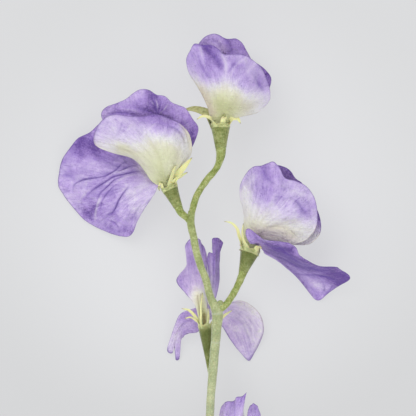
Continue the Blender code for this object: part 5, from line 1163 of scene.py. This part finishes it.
def rear_flower():
    """The blossom under the stem, seen from behind, its standard spread on both sides."""
    cup = Cup((0.6, -57.5, 14.9), (-1.0, -42.0, 13.4), 1.0, 2.7)
    pedicel("pedicel_rear", cup, [
        (1.2, -69.5, 16.8, 1.0), (0.7, -64.0, 15.8, 0.9)], 0.0, 14)
    calyx("calyx_rear", cup, [
        (130, [(-2.6, -38.6, 16.6), (-2.5, -34.6, 17.4), (-1.9, -30.6, 18.0)], 0.4, 0.0, 0),
        (162, [(-5.0, -38.8, 15.4), (-7.0, -36.9, 15.8), (-9.5, -36.3, 15.8)], 0.7, 0.0, 75),
        (216, [(-4.6, -40.6, 12.4), (-6.2, -39.6, 12.4), (-8.3, -39.9, 12.4)], 0.6, 0.0, -75),
        (66, [(0.2, -39.0, 16.0), (0.0, -36.0, 16.4)], 0.5, 0.1, 0),
        (0, [(3.6, -40.8, 13.2), (6.2, -38.6, 12.8), (8.8, -36.9, 12.4)], 0.7, 0.0, 75)], 0.75, 24, 0.36)
    petal("wing_near_rear", "wing", cup, (-0.5, 1.1), (3.0, 0.0), [
        [(-4.6, -35.2, 14.2, 0.3), (-8.0, -31.0, 13.4, 0.64),
         (-11.4, -26.3, 12.4, 0.74), (-8.6, -22.0, 12.0, 0.76)],
        [(-4.4, -34.2, 14.8, 0.24), (-6.8, -29.6, 14.2, 0.58),
         (-8.8, -24.6, 13.4, 0.74), (-7.4, -20.0, 12.2, 0.74)],
        [(-4.0, -33.4, 15.3, 0.2), (-5.8, -28.4, 15.0, 0.56),
         (-7.2, -22.4, 14.4, 0.74), (-8.4, -15.2, 12.8, 0.74)],
        [(-3.5, -32.8, 15.7, 0.18), (-4.8, -27.4, 15.6, 0.6),
         (-5.8, -20.6, 15.0, 0.75), (-7.2, -12.0, 13.6, 0.76)],
        [(-2.9, -32.4, 15.9, 0.18), (-3.6, -26.8, 16.0, 0.66),
         (-4.2, -19.6, 15.4, 0.75), (-5.0, -10.4, 14.2, 0.74)],
        [(-2.3, -32.2, 16.0, 0.2), (-2.4, -26.6, 16.0, 0.66),
         (-2.6, -19.4, 15.4, 0.72), (-3.2, -11.3, 14.4, 0.74)],
        [(-1.7, -32.4, 15.8, 0.2), (-1.5, -27.0, 15.6, 0.72),
         (-1.6, -20.6, 15.0, 0.76), (-1.9, -12.9, 14.0, 0.8)],
        [(-1.1, -33.0, 15.4, 0.3), (-0.8, -28.0, 14.8, 0.8),
         (-0.7, -22.4, 14.4, 0.84), (-1.0, -15.6, 13.8, 0.86)],
        [(-0.5, -34.0, 14.8, 0.4), (-0.2, -29.4, 14.0, 0.82),
         (0.0, -24.6, 13.6, 0.86), (-0.4, -19.6, 13.5, 0.9)]],
        folds=[
            (0.3, 0.5, 0.25, [(-5.2, -31.0), (-6.6, -27.0), (-7.0, -22.0), (-6.6, -17.0)]),
            (0.2, 0.5, 0.2, [(-4.0, -29.0), (-4.6, -24.0), (-5.0, -18.0)])],
        washes=[
            ("buff", 0.3, 1.6, [(-4.4, -33.0), (-4.6, -29.4)]),
            ("buff", 0.16, 9.0, [(-5.0, -24.0)]),
            ("tone", 0.06, 9.0, [(-6.0, -24.0)]),
            ("fold", 0.6, 0.3, [(-2.9, -38.5), (-3.4, -34.5), (-3.8, -31.6)]),
            ("fold", 0.5, 0.3, [(-2.0, -37.5), (-2.4, -34.0), (-2.6, -31.0)]),
            ("fold", 1.0, 0.8, [(-1.3, -42.4), (-1.3, -40.4), (-1.4, -38.4)])],
        seed=13, cells=(80, 80))
    petal("wing_far_rear", "wing", cup, (0.9, -0.4), (0.0, -1.6), [
        [(1.2, -33.0, 13.4, 0.5), (0.6, -27.0, 13.2, 0.6),
         (0.0, -21.6, 13.2, 0.86), (-0.6, -16.2, 13.2, 0.9)],
        [(1.5, -32.8, 13.4, 0.5), (1.3, -26.4, 13.6, 0.56),
         (1.0, -20.6, 13.8, 0.74), (0.6, -15.9, 13.8, 0.86)],
        [(1.8, -32.6, 13.2, 0.55), (1.8, -26.0, 14.0, 0.6),
         (1.7, -19.6, 14.4, 0.8), (1.6, -15.9, 14.4, 0.9)],
        [(2.0, -32.4, 12.6, 0.6), (2.3, -25.6, 13.6, 0.7),
         (2.5, -18.0, 14.4, 0.9), (1.5, -11.4, 14.4, 0.95)],
        [(2.2, -32.3, 11.6, 0.65), (2.8, -25.4, 12.6, 0.86),
         (3.0, -17.6, 13.6, 0.92), (3.0, -10.7, 13.8, 0.92)],
        [(2.4, -32.2, 10.6, 0.7), (3.3, -25.2, 11.4, 0.9),
         (3.4, -17.6, 12.4, 0.92), (4.4, -11.2, 12.8, 0.94)],
        [(2.6, -32.4, 9.4, 0.8), (3.8, -25.4, 9.8, 0.9),
         (3.7, -18.2, 11.0, 0.95), (5.3, -12.6, 11.6, 0.98)],
        [(2.7, -32.8, 8.0, 0.8), (4.1, -26.4, 7.8, 0.92),
         (4.0, -20.2, 8.8, 0.95), (4.3, -15.2, 9.4, 0.98)]],
        folds=[(0.3, 0.4, 0.6, [(1.6, -15.4), (1.9, -20.0), (2.0, -25.0), (1.8, -30.0)]),
               (-0.2, 0.4, -0.3, [(1.0, -18.6), (1.2, -23.0), (1.4, -27.0)])],
        seed=14, cells=(90, 80), base=0.5)
    petal("standard_rear", "standard", cup, (-0.2, -1.7), (-2.4, 0.0), [
        [(4.4, -42.2, 7.2, 0.66), (8.0, -47.6, 5.0, 0.66), (13.0, -54.4, 1.2, 0.66)],
        [(5.4, -40.4, 7.4, 0.64), (10.2, -46.2, 5.2, 0.62), (14.2, -55.6, 0.8, 0.64)],
        [(6.2, -39.0, 7.5, 0.62), (12.0, -44.4, 5.4, 0.58), (15.4, -55.2, 0.8, 0.62)],
        [(6.8, -37.9, 7.5, 0.58), (13.6, -42.2, 5.6, 0.55), (17.0, -52.6, 1.2, 0.58)],
        [(7.1, -37.0, 7.4, 0.56), (14.6, -39.8, 5.7, 0.54), (18.8, -49.0, 2.2, 0.56)],
        [(7.0, -36.2, 7.3, 0.54), (14.2, -37.4, 5.6, 0.5), (20.2, -44.2, 3.4, 0.54)],
        [(6.6, -35.7, 7.2, 0.52), (12.6, -35.6, 5.4, 0.46), (19.0, -38.8, 4.2, 0.48)],
        [(5.8, -35.6, 7.2, 0.52), (10.4, -34.4, 5.2, 0.44), (15.2, -35.0, 4.4, 0.44)],
        [(4.6, -35.9, 7.4, 0.56), (7.8, -34.6, 5.4, 0.5), (11.4, -33.6, 4.6, 0.46)],
        [(2.6, -36.6, 7.8, 0.58), (4.4, -35.2, 6.2, 0.56), (6.8, -34.6, 5.0, 0.52)],
        [(-0.2, -37.4, 8.2, 0.6), (0.4, -35.6, 6.8, 0.62), (1.4, -34.4, 5.4, 0.6)],
        [(-3.2, -38.2, 8.4, 0.7), (-4.8, -36.9, 7.4, 0.74), (-6.8, -36.6, 6.6, 0.72)],
        [(-4.6, -38.9, 8.4, 0.72), (-7.8, -38.0, 7.2, 0.74), (-10.2, -38.6, 6.4, 0.7)],
        [(-5.1, -39.8, 8.3, 0.74), (-9.2, -40.0, 6.8, 0.74), (-12.0, -42.4, 5.2, 0.6)],
        [(-5.1, -40.6, 8.2, 0.74), (-9.9, -41.8, 6.4, 0.66), (-13.4, -46.6, 3.4, 0.6)],
        [(-5.0, -41.2, 8.1, 0.74), (-10.2, -42.6, 6.2, 0.6), (-14.7, -51.4, 1.4, 0.6)],
        [(-4.9, -41.8, 7.9, 0.74), (-10.2, -43.2, 5.8, 0.58), (-13.2, -52.6, 1.2, 0.6)],
        [(-4.8, -42.3, 7.9, 0.74), (-10.1, -43.6, 5.8, 0.58), (-12.4, -50.4, 1.8, 0.52)],
        [(-4.6, -42.8, 7.8, 0.76), (-9.9, -44.0, 5.6, 0.6), (-11.9, -55.0, 1.0, 0.74)],
        [(-4.3, -43.3, 7.7, 0.78), (-9.6, -44.4, 5.5, 0.64), (-10.2, -54.6, 0.9, 0.74)],
        [(-4.0, -43.9, 7.6, 0.78), (-8.8, -44.8, 5.5, 0.74), (-9.8, -49.0, 2.4, 0.56)],
        [(-3.4, -44.6, 7.5, 0.78), (-6.8, -45.4, 5.8, 0.78), (-9.0, -45.6, 5.0, 0.74)]],
        folds=[
            (0.25, 0.5, 0.25, [(7.0, -40.0), (10.6, -44.6), (13.6, -51.0)]),
            (0.25, 0.5, 0.2, [(9.4, -38.4), (13.4, -43.4), (15.4, -50.4)]),
            (-0.2, 0.7, -0.2, [(11.0, -37.4), (15.4, -42.0), (17.0, -49.0)]),
            (0.3, 0.5, 0.25, [(-5.4, -40.4), (-8.6, -41.6), (-11.2, -45.4)])],
        washes=[
            ("buff", 0.14, 8.0, [(-9.0, -44.0)]),
            ("tone", 0.08, 3.4, [(-7.4, -41.0)]),
            ("fold", -0.4, 2.4, [(-13.6, -47.0), (-14.2, -52.0)]),
            ("buff", 0.2, 12.0, [(13.0, -44.0)]),
            ("fold", 0.1, 2.6, [(6.6, -43.6), (9.4, -47.4)])],
        seed=15, cells=(200, 90), crinkle=0.1, lines=0.5, base=0.6)
    keel("keel_rear", [
        (-1.3, -43.4, 13.3, 0.35), (-1.3, -39.5, 13.0, 0.6), (-1.2, -34.0, 12.2, 1.3),
        (-0.8, -29.0, 11.6, 1.5), (-0.4, -25.5, 11.4, 0.7)], 0.4, 16)


def lowest_flower():
    """The half-open blossom lowest on the stem."""
    cup = Cup((6.3, -105.5, 9.6), (9.0, -97.0, 10.4), 1.7, 3.3)
    pedicel("pedicel_lowest", cup, [
        (0.2, -122.0, 10.0, 1.2), (2.2, -114.0, 9.8, 1.2)], 0.1, 15)
    calyx("calyx_lowest", cup, [(turn, None, 0.9, 0.05, 0) for turn in (54, 126, 198, 270, 342)], 0.3, 25)
    petal("wing_near_lowest", "wing", cup, (-0.4, 1.5), (5.0, 0.0), [
        [(5.2, -90.0, 12.2, 0.14), (4.0, -82.0, 12.2, 0.4), (4.2, -73.4, 13.0, 0.72)],
        [(5.4, -89.4, 14.2, 0.14), (4.4, -81.0, 14.6, 0.45), (5.4, -70.8, 14.0, 0.74)],
        [(6.0, -89.0, 15.8, 0.14), (5.4, -80.0, 16.6, 0.5), (7.2, -69.7, 15.0, 0.76)],
        [(7.0, -88.5, 17.0, 0.14), (6.8, -79.4, 18.0, 0.56), (8.9, -69.7, 15.6, 0.76)],
        [(8.0, -88.2, 17.8, 0.14), (8.2, -79.2, 18.6, 0.6), (10.2, -68.3, 16.0, 0.78)],
        [(9.2, -88.2, 18.0, 0.14), (9.8, -79.2, 18.5, 0.6), (12.4, -67.8, 16.0, 0.78)],
        [(10.2, -88.6, 17.4, 0.14), (11.2, -79.6, 17.6, 0.55), (14.0, -66.7, 15.4, 0.82)],
        [(11.4, -89.6, 15.6, 0.14), (12.2, -81.6, 15.2, 0.4), (11.8, -72.0, 14.4, 0.66)]],
        folds=[(0.4, 0.7, 0.3, [(9.4, -70.2), (9.6, -74.0), (9.4, -79.0)]),
               (0.3, 0.6, 0.3, [(6.6, -71.0), (6.6, -75.0), (6.8, -80.0)])],
        wrap=1.0, seed=17, cells=(100, 80))
    petal("wing_far_lowest", "wing", cup, (1.2, -0.6), (1.4, -2.4), [
        [(12.2, -90.0, 12.0, 0.16), (13.6, -81.0, 12.6, 0.5), (14.0, -74.2, 13.0, 0.76)],
        [(13.2, -89.6, 11.2, 0.16), (15.2, -80.2, 11.6, 0.55), (15.5, -71.2, 12.6, 0.8)],
        [(13.8, -89.6, 10.0, 0.16), (16.2, -80.0, 10.0, 0.6), (16.7, -70.6, 12.0, 0.82)],
        [(14.6, -90.2, 7.4, 0.16), (18.0, -81.0, 6.8, 0.6), (18.2, -72.4, 9.6, 0.8)],
        [(14.0, -91.6, 5.4, 0.16), (18.2, -84.6, 4.2, 0.6), (19.4, -78.0, 5.0, 0.8)]],
        seed=18, cells=(80, 80))
    petal("standard_lowest", "standard", cup, (-0.4, -1.8), (4.2, 0.0), [
        [(4.8, -93.6, 5.8, 0.3), (0.4, -95.6, 3.0, 0.6), (-4.6, -98.6, 0.8, 0.74)],
        [(4.4, -92.6, 5.2, 0.3), (-1.0, -92.6, 2.4, 0.62), (-8.2, -93.4, 0.5, 0.75)],
        [(4.8, -91.4, 4.5, 0.3), (-1.4, -89.0, 2.0, 0.66), (-9.2, -87.2, 0.4, 0.76)],
        [(6.4, -90.6, 4.0, 0.3), (2.4, -84.0, 2.0, 0.7), (-4.0, -80.4, 0.4, 0.78)],
        [(9.0, -90.0, 3.6, 0.3), (8.4, -82.4, 1.6, 0.7), (6.0, -77.2, 0.4, 0.78)],
        [(11.4, -90.8, 3.2, 0.3), (14.4, -83.6, 1.4, 0.7), (16.4, -78.6, 0.4, 0.78)],
        [(13.4, -92.0, 3.4, 0.3), (20.0, -88.2, 1.4, 0.66), (24.6, -83.8, 0.4, 0.76)],
        [(13.8, -93.4, 4.2, 0.3), (21.0, -92.6, 1.8, 0.62), (27.6, -90.8, 0.5, 0.75)],
        [(13.4, -94.6, 5.0, 0.3), (19.6, -96.6, 2.4, 0.6), (25.0, -98.6, 0.8, 0.74)]],
        seed=19, cells=(150, 70), crinkle=0.3)
    keel("keel_lowest", [
        (8.4, -98.2, 10.4, 0.35), (9.1, -94.4, 11.0, 0.6), (10.6, -87.0, 11.0, 1.7),
        (11.6, -79.0, 11.2, 1.7), (12.1, -72.0, 11.6, 0.6)], 0.4, 20)


# ---------------------------------------------------------------- floor, light and camera

VIEW_WIDTH = 0.14976
VIEW_HEIGHT_ABOVE = 2.5
FLOWER_HEIGHT = 0.02
SENSOR = 36.0
FLOOR_REACH = 6.0
FLOOR_DROP = 0.0002


def floor():
    """A plain pale floor that glows a little, with painted light round the flowers and painted shade
    below them.
    """
    nodes = Nodes("floor")
    place = nodes.add("TexCoord").outputs["Object"]
    grain = nodes.noise(place, 3.0, 2.0)
    colour = nodes.mix(grain, rgb(109, 109, 109), rgb(111, 111, 111))
    split = nodes.add("SeparateXYZ")
    nodes.join(place, split.inputs["Vector"])
    # Painted shade: the floor is darker towards the bottom of the view.
    clear_of_painted_shade = nodes.between(split.outputs["Y"], -0.04, 0.09)
    colour = nodes.mix(clear_of_painted_shade, rgb(94, 94, 94), colour)
    # Painted light: the floor is brighter round the flowers, lifting their shadows.
    middle = nodes.add("VectorMath", operation="DISTANCE")
    nodes.join(place, middle.inputs[0])
    middle.inputs[1].default_value = placed((0.0, 0.0, 0.0))
    painted_light_round_flowers = nodes.between(middle.outputs["Value"], 0.03, 0.095, 1.0, 0.0)
    colour = nodes.mix(painted_light_round_flowers, colour, rgb(129, 129, 130))
    # The floor glows by its own emission: painted light that washes out the flowers' shadows on it.
    material = nodes.finish(colour, 0.9, Emission_Color=(0.9, 0.905, 0.915, 1.0),
                            Emission_Strength=0.59)
    mesh = bpy.data.meshes.new("floor")
    corners = [(-1, -1), (1, -1), (1, 1), (-1, 1)]
    mesh.from_pydata([(x * FLOOR_REACH, y * FLOOR_REACH, -FLOOR_DROP) for x, y in corners],
                     [], [(0, 1, 2, 3)])
    mesh.materials.append(material)
    ground = bpy.data.objects.new("floor", mesh)
    bpy.context.scene.collection.objects.link(ground)


def lamp(name, place, size, power, colour=(1.0, 1.0, 1.0)):
    """A soft square light aimed at the middle of the flowers."""
    light = bpy.data.lights.new(name, "AREA")
    light.shape = "SQUARE"
    light.size = size
    light.energy = power
    light.color = colour
    made = bpy.data.objects.new(name, light)
    made.location = place
    aim = Vector(placed((0.0, 0.0, 15.0))) - Vector(place)
    made.rotation_euler = aim.to_track_quat("-Z", "Y").to_euler()
    bpy.context.scene.collection.objects.link(made)


def studio():
    """Even pale surroundings, a large soft light above on the left and a weaker one opposite."""
    world = bpy.data.worlds.new("studio")
    world.use_nodes = True
    background = world.node_tree.nodes["Background"]
    background.inputs["Color"].default_value = (0.94, 0.96, 1.0, 1.0)
    background.inputs["Strength"].default_value = 0.81
    bpy.context.scene.world = world
    lamp("key", (-0.7, 0.9, 1.6), 1.3, 11.5, (1.0, 0.99, 0.97))
    lamp("fill", (0.6, -1.3, 1.2), 1.4, 6.0)
    bpy.context.scene.view_settings.view_transform = "Standard"


def camera():
    """A long lens straight above, with the stem upright in the picture."""
    lens = bpy.data.cameras.new("camera")
    distance = VIEW_HEIGHT_ABOVE - FLOWER_HEIGHT
    lens.sensor_width = SENSOR
    lens.lens = SENSOR * distance / VIEW_WIDTH
    lens.clip_start = 0.05
    lens.clip_end = 50.0
    made = bpy.data.objects.new("camera", lens)
    middle = placed((0.0, 0.0, 0.0))
    made.location = (middle[0], middle[1], VIEW_HEIGHT_ABOVE)
    bpy.context.scene.collection.objects.link(made)
    bpy.context.scene.camera = made


stalk("stem", STEM_ROUTE, pale=(0.75, 0.05),
      pale_rings=[((2.5, -48.4, 19.6), 0.5, 0.6), ((3.4, -37.6, 21.2), 0.55, 0.55)],
      knobs=[((4.3, -34.6, 21.4), (1.3, 1.5, 1.2), -0.4), ((3.2, -35.6, 22.4), (1.2, 1.5, 0.9), 0.3)])
top_flower()
left_flower()
right_flower()
rear_flower()
lowest_flower()
floor()
studio()
camera()
